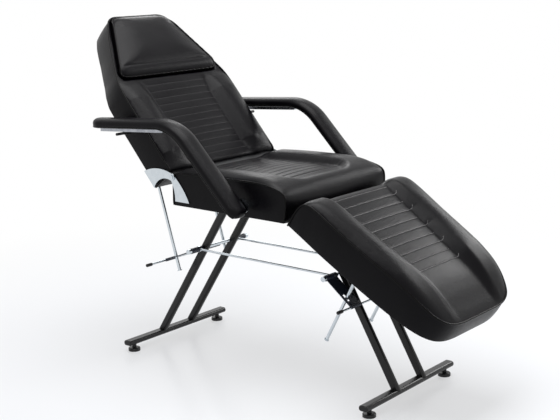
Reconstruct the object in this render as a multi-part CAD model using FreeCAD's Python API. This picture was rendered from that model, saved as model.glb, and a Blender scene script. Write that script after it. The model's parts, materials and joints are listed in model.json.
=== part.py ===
import FreeCAD
import Part
import math
import os

# Adjustable tattoo chair in three padded sections on a steel stand.
# X runs across the chair, Y from the foot end to the head end, Z up from the floor.
# Left and right are the sitter's, so left is +X.

# Stand
foot_bar_length = 530.0
foot_bar_width = 36.0
foot_bar_height = 20.0
foot_bar_round = 9.5
foot_bar_reach = 533.0
foot_bar_clear = 26.0
tube_wall = 1.5
plug_thickness = 7.0
plug_tongue = 18.0
plug_round = 5.0
glide_inset = 30.0
glide_radius = 22.5
glide_height = 12.0
glide_dome = 4.0
glide_neck_radius = 8.0
glide_stud_radius = 4.0
glide_stud_top = 41.0
leg_offset = 80.0
leg_width = 20.0
leg_depth = 30.0
leg_round = 8.0
leg_coping = 5.0
rear_leg_foot = 529.0
rear_leg_head = 191.0
front_leg_foot = 533.0
front_leg_head = 219.0

# Fits
pin_clearance = 0.05
running_gap = 0.5
soft_gap = 0.3
overrun = 5.0
tiny_length = 0.001

# Seat frame
rail_height = 25.0
rail_width = 25.0
rail_top = 603.0
rail_front = 236.0
rail_rear = 238.0
cross_inset = 90.0
cross_front = 200.0
cross_rear = 205.0
board_thickness = 12.0
seat_board_inset = 10.0
seat_board_front = 226.0
seat_board_rear = 248.0
side_frame_thickness = 19.0
side_frame_height = 60.0
side_frame_inset = 3.0
side_frame_front = 205.0
side_frame_rear = 243.0

# Seat cushion
cushion_half = 290.0
seat_rear = 255.5
seat_length = 493.5
seat_height = 107.0
seat_tuck = 17.0
cushion_base_inset = 3.0
bolster_rise = 17.0
bolster_width = 128.0
panel_sink = 5.0
panel_crown = 9.0
channel_depth = 5.0
seat_channels = 11
seat_rim_shares = [(0, 0.925), (0.258, 0.963), (0.53, 1.0), (0.807, 0.991),
                   (0.917, 0.897), (0.965, 0.813), (0.99, 0.701), (1.0, 0.53)]
seat_base_shares = [(0, 0), (0.975, 0), (1.0, 1.0)]
seat_bolster_shares = [(0, 0.03), (0.03, 0.4), (0.1, 1.0), (0.74, 1.0), (0.87, 0.4), (0.95, 0.1),
                       (1.0, 0.04)]
seat_panel_shares = [(0, 1.0), (0.72, 1.0), (0.84, 1.06), (1.0, 1.1)]
seat_channel_start_share = 0.07
seat_channel_end_share = 0.78

# Backrest
back_hinge_y = 257.0
back_hinge_z = 703.0
back_angle = 49.2
back_start = 20.0
back_length = 690.0
back_thickness = 99.0
back_rim = 3.0
back_board_inset = 8.0
back_channels = 12
back_width_shares = [(0, 1.0), (0.536, 1.0), (0.587, 0.976), (0.655, 0.907), (0.739, 0.828),
                     (0.826, 0.731), (0.891, 0.655), (0.949, 0.569), (0.985, 0.5), (1.0, 0.42)]
back_base_shares = [(0, 1.0), (0.529, 1.0), (0.572, 0.962), (0.646, 0.879), (0.787, 0.731),
                    (0.903, 0.617), (0.961, 0.51), (1.0, 0.34)]
back_bolster_shares = [(0, 0.03), (0.029, 0.03), (0.07, 0.5), (0.13, 1.0), (0.47, 1.0), (0.55, 0.5),
                       (0.587, 0.1), (1.0, 0.1)]
back_channel_start_share = 0.09
back_channel_end_share = 0.55
pillow_foot_gap = 8.0
pillow_well = 20.0
pillow_margin = 4.0

# Headrest pillow
pillow_end_gap = 3.0
pillow_length = 265.0
pillow_inset = 40.0
pillow_rim = 4.0
pillow_crown = 30.0
pillow_width_shares = [(0, 0.9), (0.03, 0.985), (0.07, 1.0), (0.5, 0.79), (0.93, 0.57), (0.98, 0.475),
                       (1.0, 0.41)]
pillow_crown_shares = [(0, 0.03), (0.03, 0.4), (0.08, 0.7), (0.125, 0.82), (0.147, 0.66), (0.17, 0.86),
                       (0.4, 1.0), (0.7, 0.95), (0.88, 0.7), (0.96, 0.35), (1.0, 0.03)]

# Leg rest
leg_hinge_y = -243.0
leg_hinge_z = 600.0
leg_angle = 32.5
legrest_start = 3.0
legrest_length = 607.0
legrest_height = 112.0
legrest_board_start = 14.0
legrest_channels = 10
legrest_width_shares = [(0, 1.0), (0.24, 1.0), (0.36, 0.986), (0.49, 0.969), (0.62, 0.945), (0.737, 0.91),
                        (0.835, 0.862), (0.91, 0.786), (0.959, 0.69), (0.987, 0.55), (1.0, 0.4)]
legrest_rim_shares = [(0, 0.46), (0.012, 0.71), (0.028, 0.84), (0.053, 0.94), (0.1, 1.0), (0.72, 1.0),
                      (0.83, 0.9), (0.91, 0.79), (0.959, 0.72), (1.0, 0.64)]
legrest_bolster_shares = [(0, 0.02), (0.028, 0.1), (0.1, 0.6), (0.16, 1.0), (0.62, 1.0), (0.8, 0.6),
                          (0.9, 0.25), (1.0, 0.05)]
legrest_panel_shares = [(0, 0.98), (0.65, 0.76), (0.8, 0.74), (1.0, 0.5)]
legrest_channel_start_share = 0.065
legrest_channel_end_share = 0.66

# Padded section rails, which carry the prop rods
strap_offset = 134.0
strap_width = 30.0
strap_thickness = 6.0
back_strap_start = 60.0
back_strap_length = 440.0
legrest_strap_start = 60.0
legrest_strap_length = 420.0
fork_cheek = 4.0
fork_length = 26.0
fork_margin = 7.0

# Side hinges between seat and backrest
plate_thickness = 3.0
plate_pivot_round = 13.0
plate_joggle_round = 24.0
hinge_pin_radius = 5.0
hinge_head_radius = 8.0
hinge_head_thickness = 2.6
seat_plate_reach = 78.0
seat_plate_drop = 84.0
back_plate_reach = 131.0
back_plate_drop = 47.0

# Hinge under the front of the seat
knuckle_radius = 6.0
knuckle_pin_radius = 3.0
knuckle_count = 5
leaf_inset = 50.0
leaf_thickness = 2.0
leaf_depth = 52.0

# Prop rods
prop_radius = 6.0
prop_eye_radius = 8.0
prop_pin_radius = 4.0
prop_foot_radius = 8.5
prop_foot_thickness = 4.0
rear_prop_reach = 335.0
rear_prop_drop = 110.5
rear_prop_low_y = 382.5
rear_prop_low_z = 312.5
front_prop_reach = 234.8
front_prop_drop = 22.0
front_prop_low_y = -289.0
front_prop_low_z = 181.0

# Cross shafts, tie rods and release handles
rear_shaft_y = 310.0
front_shaft_y = -296.0
shaft_z = 400.0
shaft_radius = 6.0
shaft_half = 165.0
shaft_head_radius = 9.0
shaft_head_length = 7.0
sleeve_radius = 8.5
tie_radius = 4.0
tie_offset = 106.0
tie_eye_radius = 11.0
tie_eye_width = 9.0
release_plate_inner = 92.0
release_plate_outer = 150.0
release_plate_thickness = 3.0
release_knuckle_radius = 10.0
rear_release_length = 137.0
rear_release_fall = 22.3
rear_slot_centre = 97.3
rear_slot_length = 23.4
front_release_length = 132.0
front_release_fall = 38.2
front_slot_centre = 93.0
front_slot_length = 29.6
slot_width = 13.0
release_bar_radius = 3.8
release_knuckle_wall = 2.0
rear_bar_near = 240.0
rear_bar_far = 112.0
front_bar_near = 214.0
front_bar_far = 146.0
cap_radius = 6.0
cap_length = 26.0
cap_overlap = 14.0

# Armrests
arm_pivot_y = -86.0
arm_pivot_z = 650.0
arm_gap = 34.0
arm_width = 78.0
arm_thickness = 35.0
arm_rear_y = 549.0
arm_elbow_y = 164.0
arm_elbow_z = 902.0
arm_slope = 3.8
arm_edge_round = 12.0
arm_elbow_round = 190.0
arm_inner_round = 155.0
arm_end_round = 17.0
arm_end_reach = 38.0
support_width = 20.0
support_thickness = 10.0
support_neck = 50.0
support_shoulder = 40.0
support_sink = 8.0
support_entry_y = 224.0
support_rear_y = 520.0
arm_bolt_radius = 5.0
arm_bolt_head = 5.0
arm_bush_radius = 25.0
arm_bush_thickness = 6.0
arm_sleeve_radius = 11.0
guide_peg_y = 440.0
guide_peg_radius = 5.0
guide_peg_gap = 5.0
guide_peg_depth = 24.0

cushion_base_z = rail_top + board_thickness
seat_board_half = cushion_half - seat_board_inset
cross_reach = cushion_half - cross_inset
leaf_half = cushion_half - leaf_inset
panel_half = cushion_half - bolster_width
arm_inner = cushion_half + arm_gap
arm_outer = arm_inner + arm_width
pillow_half = cushion_half - pillow_inset
pillow_start = back_length - pillow_length - pillow_end_gap
pillow_seat_share = (pillow_start - pillow_foot_gap) / back_length
foot_bar_top = foot_bar_clear + foot_bar_height
glide_spacing = foot_bar_length - 2 * glide_inset
seat_plate_inner = cushion_half + soft_gap
back_plate_inner = seat_plate_inner + plate_thickness + soft_gap


def box(x0, x1, y0, y1, z0, z1):
    return Part.makeBox(x1 - x0, y1 - y0, z1 - z0, FreeCAD.Vector(x0, y0, z0))


def rod(start, end, radius):
    start = FreeCAD.Vector(*start)
    run = FreeCAD.Vector(*end) - start
    return Part.makeCylinder(radius, run.Length, start, run)


def cross_pin(x0, x1, y, z, radius):
    return rod((x0, y, z), (x1, y, z), radius)


def mirrored(shape):
    return shape.mirror(FreeCAD.Vector(0, 0, 0), FreeCAD.Vector(1, 0, 0))


# Outline of straight runs in the YZ plane, each corner rounded by its own radius
def side_wire(points, radii):
    count = len(points)
    corners = [FreeCAD.Vector(0, y, z) for y, z in points]
    edges = []
    trims = []
    for i in range(count):
        corner = corners[i]
        back = (corners[i - 1] - corner).normalize()
        ahead = (corners[(i + 1) % count] - corner).normalize()
        half_turn = back.getAngle(ahead) / 2
        reach = radii[i] / math.tan(half_turn)
        middle = (back + ahead).normalize() * (radii[i] / math.sin(half_turn) - radii[i])
        trims.append((corner + back * reach, corner + middle, corner + ahead * reach))
    for i in range(count):
        before, middle, after = trims[i]
        if radii[i] > 0:
            edges.append(Part.Arc(before, middle, after).toShape())
        edges.append(Part.LineSegment(after, trims[(i + 1) % count][0]).toShape())
    return Part.Wire(edges)


def across(wire, x0, x1):
    face = Part.Face(wire)
    solid = face.extrude(FreeCAD.Vector(x1 - x0, 0, 0))
    solid.translate(FreeCAD.Vector(x0, 0, 0))
    return solid


# Closed outline in the YZ plane of a strip of even thickness along a bent centre line
def strip_points(centre, thickness):
    left = []
    right = []
    for i in range(len(centre)):
        here = FreeCAD.Vector(0, *centre[i])
        before = FreeCAD.Vector(0, *centre[max(i - 1, 0)])
        after = FreeCAD.Vector(0, *centre[min(i + 1, len(centre) - 1)])
        arriving = here - before if i > 0 else after - here
        leaving = after - here if i < len(centre) - 1 else arriving
        arriving.normalize()
        leaving.normalize()
        side = FreeCAD.Vector(0, -arriving.z - leaving.z, arriving.y + leaving.y)
        side.normalize()
        stretch = side.dot(FreeCAD.Vector(0, -arriving.z, arriving.y))
        offset = side * (thickness / 2 / stretch)
        left.append((here + offset))
        right.append((here - offset))
    return [(p.y, p.z) for p in left + right[::-1]]


def share_at(shares, place_share):
    for (a, low), (b, high) in zip(shares, shares[1:]):
        if place_share <= b:
            return low + (high - low) * (place_share - a) / (b - a)
    return shares[-1][1]


# Section across a cushion: flat base, drawn-in sides, a roll along each side and a panel between them
def cushion_section(y, base_half, base, half, rim, roll_top, panel, panel_edge, panel_top):
    def at(x, z):
        return FreeCAD.Vector(x, y, z)

    roll_middle = (half + panel) / 2
    side_middle = (half + base_half) / 2
    side_height = (rim + base) / 2
    edges = [
        Part.LineSegment(at(-base_half, base), at(base_half, base)),
        Part.LineSegment(at(base_half, base), at(side_middle, side_height)),
        Part.LineSegment(at(side_middle, side_height), at(half, rim)),
        Part.Arc(at(half, rim), at(roll_middle, roll_top), at(panel, panel_edge)),
        Part.Arc(at(panel, panel_edge), at(0, panel_top), at(-panel, panel_edge)),
        Part.Arc(at(-panel, panel_edge), at(-roll_middle, roll_top), at(-half, rim)),
        Part.LineSegment(at(-half, rim), at(-side_middle, side_height)),
        Part.LineSegment(at(-side_middle, side_height), at(-base_half, base)),
    ]
    return Part.Wire([edge.toShape() for edge in edges])


# Places of the sewn lines and of the crowns between them, as shares of the cushion's length
def channel_places(count, start_share, end_share):
    step = (end_share - start_share) / (count - 1)
    lines = [start_share + step * i for i in range(count)]
    crowns = [line - step / 2 for line in lines] + [lines[-1] + step / 2]
    return lines, crowns


def merged_places(shares, lines, crowns, keep_away):
    places = lines + crowns
    for place, _ in shares:
        if all(abs(place - other) > keep_away for other in places):
            places.append(place)
    return sorted(place for place in places if 0 <= place <= 1)


def seat_cushion():
    lines, crowns = channel_places(seat_channels, seat_channel_start_share, seat_channel_end_share)
    near_share = 0.012
    shares = seat_rim_shares + seat_base_shares + seat_bolster_shares
    sections = []
    for place in merged_places(shares, lines, crowns, near_share):
        rim = cushion_base_z + seat_height * share_at(seat_rim_shares, place)
        rise = bolster_rise * share_at(seat_bolster_shares, place)
        base = cushion_base_z + seat_tuck * share_at(seat_base_shares, place)
        sink = panel_sink * share_at(seat_bolster_shares, place)
        top = rim - sink + panel_crown * share_at(seat_bolster_shares, place) + soft_gap
        if place in lines:
            top = top - channel_depth
        y = seat_rear - seat_length * place
        panel = panel_half * share_at(seat_panel_shares, place)
        sections.append(cushion_section(y, cushion_half - cushion_base_inset, base, cushion_half, rim,
                                        rim + rise, panel, rim - sink, top))
    return Part.makeLoft(sections, True, True)


# The backrest lies flat here, with its hinge line on the X axis and its face up
def back_cushion():
    lines, crowns = channel_places(back_channels, back_channel_start_share, back_channel_end_share)
    near_share = 0.005
    start_share = back_start / back_length
    shares = [(start_share, 0), (pillow_seat_share, 0)] + back_width_shares + back_bolster_shares
    shares += [((pillow_start + pillow_length * place) / back_length, 0) for place, _ in pillow_width_shares]
    sections = []
    for place in merged_places(shares, lines, crowns, near_share):
        if place < start_share:
            continue
        half = cushion_half * share_at(back_width_shares, place)
        base_half = cushion_half * share_at(back_base_shares, place) - cushion_base_inset
        rise = bolster_rise * share_at(back_bolster_shares, place)
        if place < pillow_seat_share:
            panel = panel_half
            edge = back_rim - panel_sink * share_at(back_bolster_shares, place)
            top = edge + panel_crown * share_at(back_bolster_shares, place) + soft_gap
        else:
            panel = min(pillow_outline(place * back_length) + pillow_margin, half - pillow_margin)
            edge = back_rim - pillow_well
            top = edge + soft_gap
        if place in lines:
            top = top - channel_depth
        roll_top = (back_rim + edge) / 2 + rise
        sections.append(cushion_section(back_length * place, base_half, back_rim - back_thickness, half,
                                        back_rim, roll_top, panel, edge, top))
    return Part.makeLoft(sections, True, True)


def pillow_outline(place):
    share = min(max((place - pillow_start) / pillow_length, 0), 1)
    return pillow_half * share_at(pillow_width_shares, share)


def pillow():
    base = back_rim - pillow_well + soft_gap + soft_gap
    sections = []
    places = sorted(set([place for place, _ in pillow_width_shares + pillow_crown_shares]))
    for place in places:
        y = pillow_start + pillow_length * place
        half = pillow_outline(y)
        top = pillow_rim + pillow_crown * share_at(pillow_crown_shares, place)
        corners = [FreeCAD.Vector(x, y, z) for x, z in
                   ((-half, base), (half, base), (half, pillow_rim), (-half, pillow_rim))]
        edges = [
            Part.LineSegment(corners[0], corners[1]),
            Part.LineSegment(corners[1], corners[2]),
            Part.Arc(corners[2], FreeCAD.Vector(0, y, top), corners[3]),
            Part.LineSegment(corners[3], corners[0]),
        ]
        sections.append(Part.Wire([edge.toShape() for edge in edges]))
    return Part.makeLoft(sections, True, True)


# The leg rest lies flat here too, reaching towards -Y from its hinge line on the X axis
def legrest_cushion():
    lines, crowns = channel_places(legrest_channels, legrest_channel_start_share, legrest_channel_end_share)
    near_share = 0.008
    shares = legrest_width_shares + legrest_rim_shares + legrest_bolster_shares
    sections = []
    for place in merged_places(shares, lines, crowns, near_share):
        half = cushion_half * share_at(legrest_width_shares, place)
        rim = legrest_height * share_at(legrest_rim_shares, place)
        rise = bolster_rise * share_at(legrest_bolster_shares, place)
        edge = rim - panel_sink * share_at(legrest_bolster_shares, place)
        top = edge + panel_crown * share_at(legrest_bolster_shares, place) + soft_gap
        if place in lines:
            top = top - channel_depth
        panel = panel_half * share_at(legrest_panel_shares, place)
        y = -legrest_start - legrest_length * place
        sections.append(cushion_section(y, half - cushion_base_inset, 0, half, rim, rim + rise, panel,
                                        edge, top))
    solid = Part.makeLoft(sections, True, True)
    knuckle_room = box(-leaf_half - overrun, leaf_half + overrun, -legrest_board_start, 0,
                       -overrun, board_thickness)
    return solid.cut(knuckle_room)


# Board with straight sides under a cushion, narrower than the cushion all round
def plan_board(outline, z0):
    points = [FreeCAD.Vector(x, y, z0) for x, y in outline]
    points += [FreeCAD.Vector(-x, y, z0) for x, y in reversed(outline)]
    points.append(points[0])
    face = Part.Face(Part.makePolygon(points))
    return face.extrude(FreeCAD.Vector(0, 0, board_thickness))


def back_board():
    outline = [(cushion_half - cushion_base_inset - back_board_inset, back_start + back_board_inset)]
    for place, width in back_base_shares[1:]:
        y = place * back_length - back_board_inset
        outline.append((cushion_half * width - cushion_base_inset - back_board_inset, y))
    return plan_board(outline, back_rim - back_thickness)


def legrest_board():
    outline = [(cushion_half - cushion_base_inset - back_board_inset, -legrest_board_start)]
    for place, width in legrest_width_shares[1:]:
        y = back_board_inset - legrest_start - place * legrest_length
        outline.append((cushion_half * width - cushion_base_inset - back_board_inset, y))
    return plan_board(outline, 0)


# Flat oval bar along X, smaller all round than the foot bar's outside by an inset
def oval_bar(x0, x1, y_centre, inset):
    half = foot_bar_width / 2 - inset
    solid = box(x0, x1, y_centre - half, y_centre + half, foot_bar_clear + inset, foot_bar_top - inset)
    long_edges = [edge for edge in solid.Edges if edge.BoundBox.XLength > tiny_length]
    long_edges = [edge for edge in long_edges if edge.BoundBox.YLength < tiny_length]
    return solid.makeFillet(foot_bar_round - inset, long_edges)


def tube_bar(length, y_centre):
    half = length / 2
    bar = oval_bar(-half, half, y_centre, 0)
    bar = bar.cut(oval_bar(-half - overrun, half + overrun, y_centre, tube_wall))
    for side in (-1, 1):
        x = side * glide_spacing / 2
        hole = rod((x, y_centre, foot_bar_clear - overrun), (x, y_centre, foot_bar_clear + overrun),
                   glide_stud_radius + pin_clearance)
        bar = bar.cut(hole)
    return bar


def end_plug(y_centre):
    x0 = foot_bar_length / 2
    cap = oval_bar(x0, x0 + plug_thickness, y_centre, 0)
    outer_edges = [edge for edge in cap.Edges if edge.CenterOfMass.x > x0 + plug_thickness - tiny_length]
    cap = cap.makeFillet(plug_round, outer_edges)
    tongue = oval_bar(x0 - plug_tongue, x0 + tube_wall, y_centre, tube_wall + soft_gap)
    return cap.fuse(tongue)


def glide(x, y):
    disc = Part.makeCylinder(glide_radius, glide_height, FreeCAD.Vector(x, y, 0))
    top_edge = [edge for edge in disc.Edges if edge.CenterOfMass.z > glide_height - tiny_length]
    disc = disc.makeFillet(glide_dome, top_edge[:1])
    neck = rod((x, y, 0), (x, y, foot_bar_clear - running_gap), glide_neck_radius)
    stud = rod((x, y, 0), (x, y, glide_stud_top), glide_stud_radius)
    return disc.fuse(neck).fuse(stud)


# Rounded leg tube from its saddle on a foot bar to a seat rail, with the hole for its cross shaft
def leg(foot_y, head_y, side, bar_y, shaft_y):
    z0 = foot_bar_top
    z1 = rail_top - rail_height
    lean = math.atan2(abs(head_y - foot_y), z1 - z0)
    half = leg_depth / 2 / math.cos(lean)
    wall = tube_wall / math.cos(lean)
    x = side * leg_offset

    def slab(half_depth, half_width, edge_round, below, above):
        slope = (foot_y - head_y) / (z1 - z0)
        low_y = foot_y + slope * below
        high_y = head_y - slope * above
        points = [(low_y - half_depth, z0 - below), (low_y + half_depth, z0 - below),
                  (high_y + half_depth, z1 + above), (high_y - half_depth, z1 + above)]
        solid = across(side_wire(points, [0] * len(points)), x - half_width, x + half_width)
        long_edges = [edge for edge in solid.Edges if edge.BoundBox.ZLength > z1 - z0 - tiny_length]
        return solid.makeFillet(edge_round, long_edges)

    hollow = slab(half - wall, leg_width / 2 - tube_wall, leg_round - tube_wall, leg_coping + overrun,
                  overrun)
    solid = slab(half, leg_width / 2, leg_round, leg_coping, 0).cut(hollow)
    solid = solid.cut(oval_bar(-foot_bar_length / 2, foot_bar_length / 2, bar_y, 0))
    hole = cross_pin(x - leg_width, x + leg_width, shaft_y, shaft_z, shaft_radius + pin_clearance)
    return solid.cut(hole)


def square_tube(x0, x1, y0, y1, along_x):
    z0 = rail_top - rail_height
    outer = box(x0, x1, y0, y1, z0, rail_top)
    if along_x:
        inner = box(x0 - overrun, x1 + overrun, y0 + tube_wall, y1 - tube_wall, z0 + tube_wall,
                    rail_top - tube_wall)
    else:
        inner = box(x0 + tube_wall, x1 - tube_wall, y0 - overrun, y1 + overrun, z0 + tube_wall,
                    rail_top - tube_wall)
    return outer.cut(inner)


def knuckle_spans(moving):
    step = 2 * leaf_half / knuckle_count
    spans = []
    for i in range(knuckle_count):
        if (i % 2 == 1) == moving:
            x0 = -leaf_half + i * step
            spans.append((x0 + running_gap / 2, x0 + step - running_gap / 2))
    return spans


# Fixed half of the leg rest's hinge, let into the underside of the seat board
def seat_leaf():
    root = knuckle_radius + running_gap
    top = rail_top + leaf_thickness
    leaf = box(-leaf_half, leaf_half, leg_hinge_y + root, leg_hinge_y + leaf_depth, rail_top, top)
    for x0, x1 in knuckle_spans(False):
        tab = box(x0, x1, leg_hinge_y, leg_hinge_y + root + running_gap, rail_top, top)
        barrel = cross_pin(x0, x1, leg_hinge_y, leg_hinge_z, knuckle_radius)
        leaf = leaf.fuse(tab).fuse(barrel)
    bore = cross_pin(-leaf_half - overrun, leaf_half + overrun, leg_hinge_y, leg_hinge_z,
                     knuckle_pin_radius + pin_clearance)
    return leaf.cut(bore)


# Moving half, screwed under the leg rest's board and made with the leg rest flat
def legrest_leaf():
    root = knuckle_radius + running_gap
    leaf = box(-leaf_half, leaf_half, -leaf_depth, -root, -leaf_thickness, 0)
    for x0, x1 in knuckle_spans(True):
        tab = box(x0, x1, -root - running_gap, 0, -leaf_thickness, 0)
        barrel = cross_pin(x0, x1, 0, 0, knuckle_radius)
        leaf = leaf.fuse(tab).fuse(barrel)
    bore = cross_pin(-leaf_half - overrun, leaf_half + overrun, 0, 0, knuckle_pin_radius + pin_clearance)
    return leaf.cut(bore)


# Steel strap under a padded section with the fork that holds a prop rod's eye
def strap(side, y0, y1, face, out, pivot_y, pivot_z):
    x = side * strap_offset
    z0, z1 = sorted((face, face + out * strap_thickness))
    solid = box(x - strap_width / 2, x + strap_width / 2, y0, y1, z0, z1)
    gap_half = prop_radius + soft_gap
    far = pivot_z + out * fork_margin
    c0, c1 = sorted((face + out * strap_thickness / 2, far))
    for cheek in (-1, 1):
        x0, x1 = sorted((x + cheek * gap_half, x + cheek * (gap_half + fork_cheek)))
        solid = solid.fuse(box(x0, x1, pivot_y - fork_length / 2, pivot_y + fork_length / 2, c0, c1))
    pin_hole = cross_pin(x - strap_width, x + strap_width, pivot_y, pivot_z, prop_pin_radius + pin_clearance)
    return solid.cut(pin_hole)


# Prop rod with an eye and a cross pin at its pivot and a stop collar at its lower end
def prop_rod(side, pivot, low):
    x = side * strap_offset
    top = FreeCAD.Vector(x, *pivot)
    bottom = FreeCAD.Vector(x, *low)
    run = (top - bottom).normalize()
    solid = rod(tuple(bottom), tuple(top), prop_radius)
    collar = rod(tuple(bottom), tuple(bottom + run * prop_foot_thickness), prop_foot_radius)
    eye = cross_pin(x - prop_radius, x + prop_radius, pivot[0], pivot[1], prop_eye_radius)
    reach = prop_radius + soft_gap + fork_cheek + soft_gap
    pin = cross_pin(x - reach, x + reach, pivot[0], pivot[1], prop_pin_radius)
    return eye.fuse(pin).fuse(solid).fuse(collar)


# Release plate in its own frame: shaft along X at the origin, plate reaching along +Y
def release_plate(length, slot_centre, slot_length):
    half = release_plate_thickness / 2
    notch = tie_eye_radius + running_gap
    solid = box(release_plate_inner, release_plate_outer, 0, length, -half, half)
    solid = solid.fuse(cross_pin(release_plate_inner, release_plate_outer, 0, 0, release_knuckle_radius))
    solid = solid.fuse(cross_pin(release_plate_inner, release_plate_outer, length, 0,
                                 release_bar_radius + release_knuckle_wall))
    eye_room = tie_eye_width / 2 + running_gap
    solid = solid.cut(cross_pin(tie_offset - eye_room, tie_offset + eye_room, 0, 0, notch))
    solid = solid.cut(cross_pin(0, shaft_half, 0, 0, shaft_radius + pin_clearance))
    solid = solid.cut(cross_pin(0, shaft_half, length, 0, release_bar_radius + pin_clearance))
    slot = box(strap_offset - slot_width / 2, strap_offset + slot_width / 2,
               slot_centre - slot_length / 2, slot_centre + slot_length / 2, -overrun, overrun)
    slot_round = slot_width / 4
    upright_edges = [edge for edge in slot.Edges if abs(edge.Length - 2 * overrun) < tiny_length]
    slot = slot.makeFillet(slot_round, upright_edges)
    return solid.cut(slot)


def release_bar(near, far, length):
    return cross_pin(-near, far, length, 0, release_bar_radius)


def release_cap(near, length):
    tip = -near - cap_length + cap_overlap
    cap = cross_pin(tip, tip + cap_length, length, 0, cap_radius)
    tip_edges = [edge for edge in cap.Edges if edge.CenterOfMass.x < tip + tiny_length]
    cap = cap.makeFillet(cap_radius / 2, tip_edges[:1])
    return cap.cut(cross_pin(-near, near, length, 0, release_bar_radius + pin_clearance))


def cross_shaft(y):
    shaft = cross_pin(-shaft_half, shaft_half, y, shaft_z, shaft_radius)
    for side in (-1, 1):
        x0, x1 = sorted((side * shaft_half, side * (shaft_half - shaft_head_length)))
        shaft = shaft.fuse(cross_pin(x0, x1, y, shaft_z, shaft_head_radius))
    return shaft.removeSplitter()


def shaft_sleeve(side, y):
    x0, x1 = sorted((side * (release_plate_outer + running_gap), side * (shaft_half - shaft_head_length)))
    bore = cross_pin(x0 - overrun, x1 + overrun, y, shaft_z, shaft_radius + pin_clearance)
    return cross_pin(x0, x1, y, shaft_z, sleeve_radius).cut(bore)


def tie_rod(side):
    x = side * tie_offset
    x0 = x - tie_eye_width / 2
    x1 = x + tie_eye_width / 2
    solid = rod((x, front_shaft_y, shaft_z), (x, rear_shaft_y, shaft_z), tie_radius)
    for y in (front_shaft_y, rear_shaft_y):
        solid = solid.fuse(cross_pin(x0, x1, y, shaft_z, tie_eye_radius))
    for y in (front_shaft_y, rear_shaft_y):
        solid = solid.cut(cross_pin(x0 - overrun, x1 + overrun, y, shaft_z, shaft_radius + pin_clearance))
    return solid


# Chrome side plates that carry the backrest, one pair on each side of the seat
def seat_plate_wire():
    y, z = back_hinge_y, back_hinge_z
    r = plate_pivot_round
    top = FreeCAD.Vector(0, y, z + r)
    heel = FreeCAD.Vector(0, y + r, z)
    low_front = FreeCAD.Vector(0, y - seat_plate_reach, z - seat_plate_drop)
    low_rear = FreeCAD.Vector(0, y - r, z - seat_plate_drop)
    bulge_shares = (0.62, 0.42)
    hollow_shares = (0.6, 0.5)
    front_middle = FreeCAD.Vector(0, y - seat_plate_reach * bulge_shares[0],
                                  z - seat_plate_drop * bulge_shares[1])
    rear_middle = FreeCAD.Vector(0, y - r * hollow_shares[0], z - seat_plate_drop * hollow_shares[1])
    corner = r * math.sqrt(0.5)
    return Part.Wire([
        Part.Arc(heel, FreeCAD.Vector(0, y + corner, z + corner), top).toShape(),
        Part.Arc(top, front_middle, low_front).toShape(),
        Part.LineSegment(low_front, low_rear).toShape(),
        Part.Arc(low_rear, rear_middle, heel).toShape(),
    ])


def back_plate_wire():
    y, z = back_hinge_y, back_hinge_z
    r = plate_pivot_round
    corner = r * math.sqrt(0.5)
    top = FreeCAD.Vector(0, y - corner, z + corner)
    low = FreeCAD.Vector(0, y, z - r)
    rise_share = 0.175
    outer_shares = (0.53, 1.0)
    inner_shares = (0.42, 0.3)
    end_shares = (0.64, 1.0)
    tip = FreeCAD.Vector(0, y + back_plate_reach, z + back_plate_drop * rise_share)
    outer = FreeCAD.Vector(0, y + back_plate_reach * outer_shares[0],
                           z + plate_joggle_round * outer_shares[1])
    toe = FreeCAD.Vector(0, y + back_plate_reach * end_shares[0], z - back_plate_drop * end_shares[1])
    inner = FreeCAD.Vector(0, y + back_plate_reach * inner_shares[0], z - back_plate_drop * inner_shares[1])
    return Part.Wire([
        Part.Arc(low, FreeCAD.Vector(0, y - r, z), top).toShape(),
        Part.Arc(top, outer, tip).toShape(),
        Part.LineSegment(tip, toe).toShape(),
        Part.Arc(toe, inner, low).toShape(),
    ])


def pin_bore():
    return cross_pin(0, arm_outer, back_hinge_y, back_hinge_z, hinge_pin_radius + pin_clearance)


def seat_plate():
    return across(seat_plate_wire(), seat_plate_inner, seat_plate_inner + plate_thickness).cut(pin_bore())


# The backrest's plate passes outside the seat's plate at the pivot and then lies against the backrest
def back_plate():
    outer = across(back_plate_wire(), back_plate_inner, back_plate_inner + plate_thickness)
    inner = across(back_plate_wire(), seat_plate_inner, back_plate_inner)
    inner = inner.cut(cross_pin(0, arm_outer, back_hinge_y, back_hinge_z, plate_joggle_round))
    return outer.fuse(inner).cut(pin_bore())


def hinge_pin():
    x1 = back_plate_inner + plate_thickness + soft_gap
    shank = cross_pin(seat_plate_inner, x1, back_hinge_y, back_hinge_z, hinge_pin_radius)
    head = cross_pin(x1, x1 + hinge_head_thickness, back_hinge_y, back_hinge_z, hinge_head_radius)
    return shank.fuse(head)


# Place on the slanting part's middle line, measured from the pivot towards the elbow
def arm_slant_place(distance):
    slant = math.atan2(arm_elbow_z - arm_pivot_z, arm_elbow_y - arm_pivot_y)
    return arm_pivot_y + distance * math.cos(slant), arm_pivot_z + distance * math.sin(slant)


# Height of the rear part's middle line, which falls gently towards the rear
def arm_middle(y):
    return arm_elbow_z - (y - arm_elbow_y) * math.tan(math.radians(arm_slope))


# Armrest: a slanting part up from its pivot, an elbow and a nearly level part behind it
def arm_lines():
    rear = (arm_rear_y, arm_middle(arm_rear_y))
    low = arm_slant_place(-arm_end_reach)
    return low, (arm_elbow_y, arm_elbow_z), rear


def arm_underside(y):
    return arm_middle(y) - arm_thickness / 2 / math.cos(math.radians(arm_slope))


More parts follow.
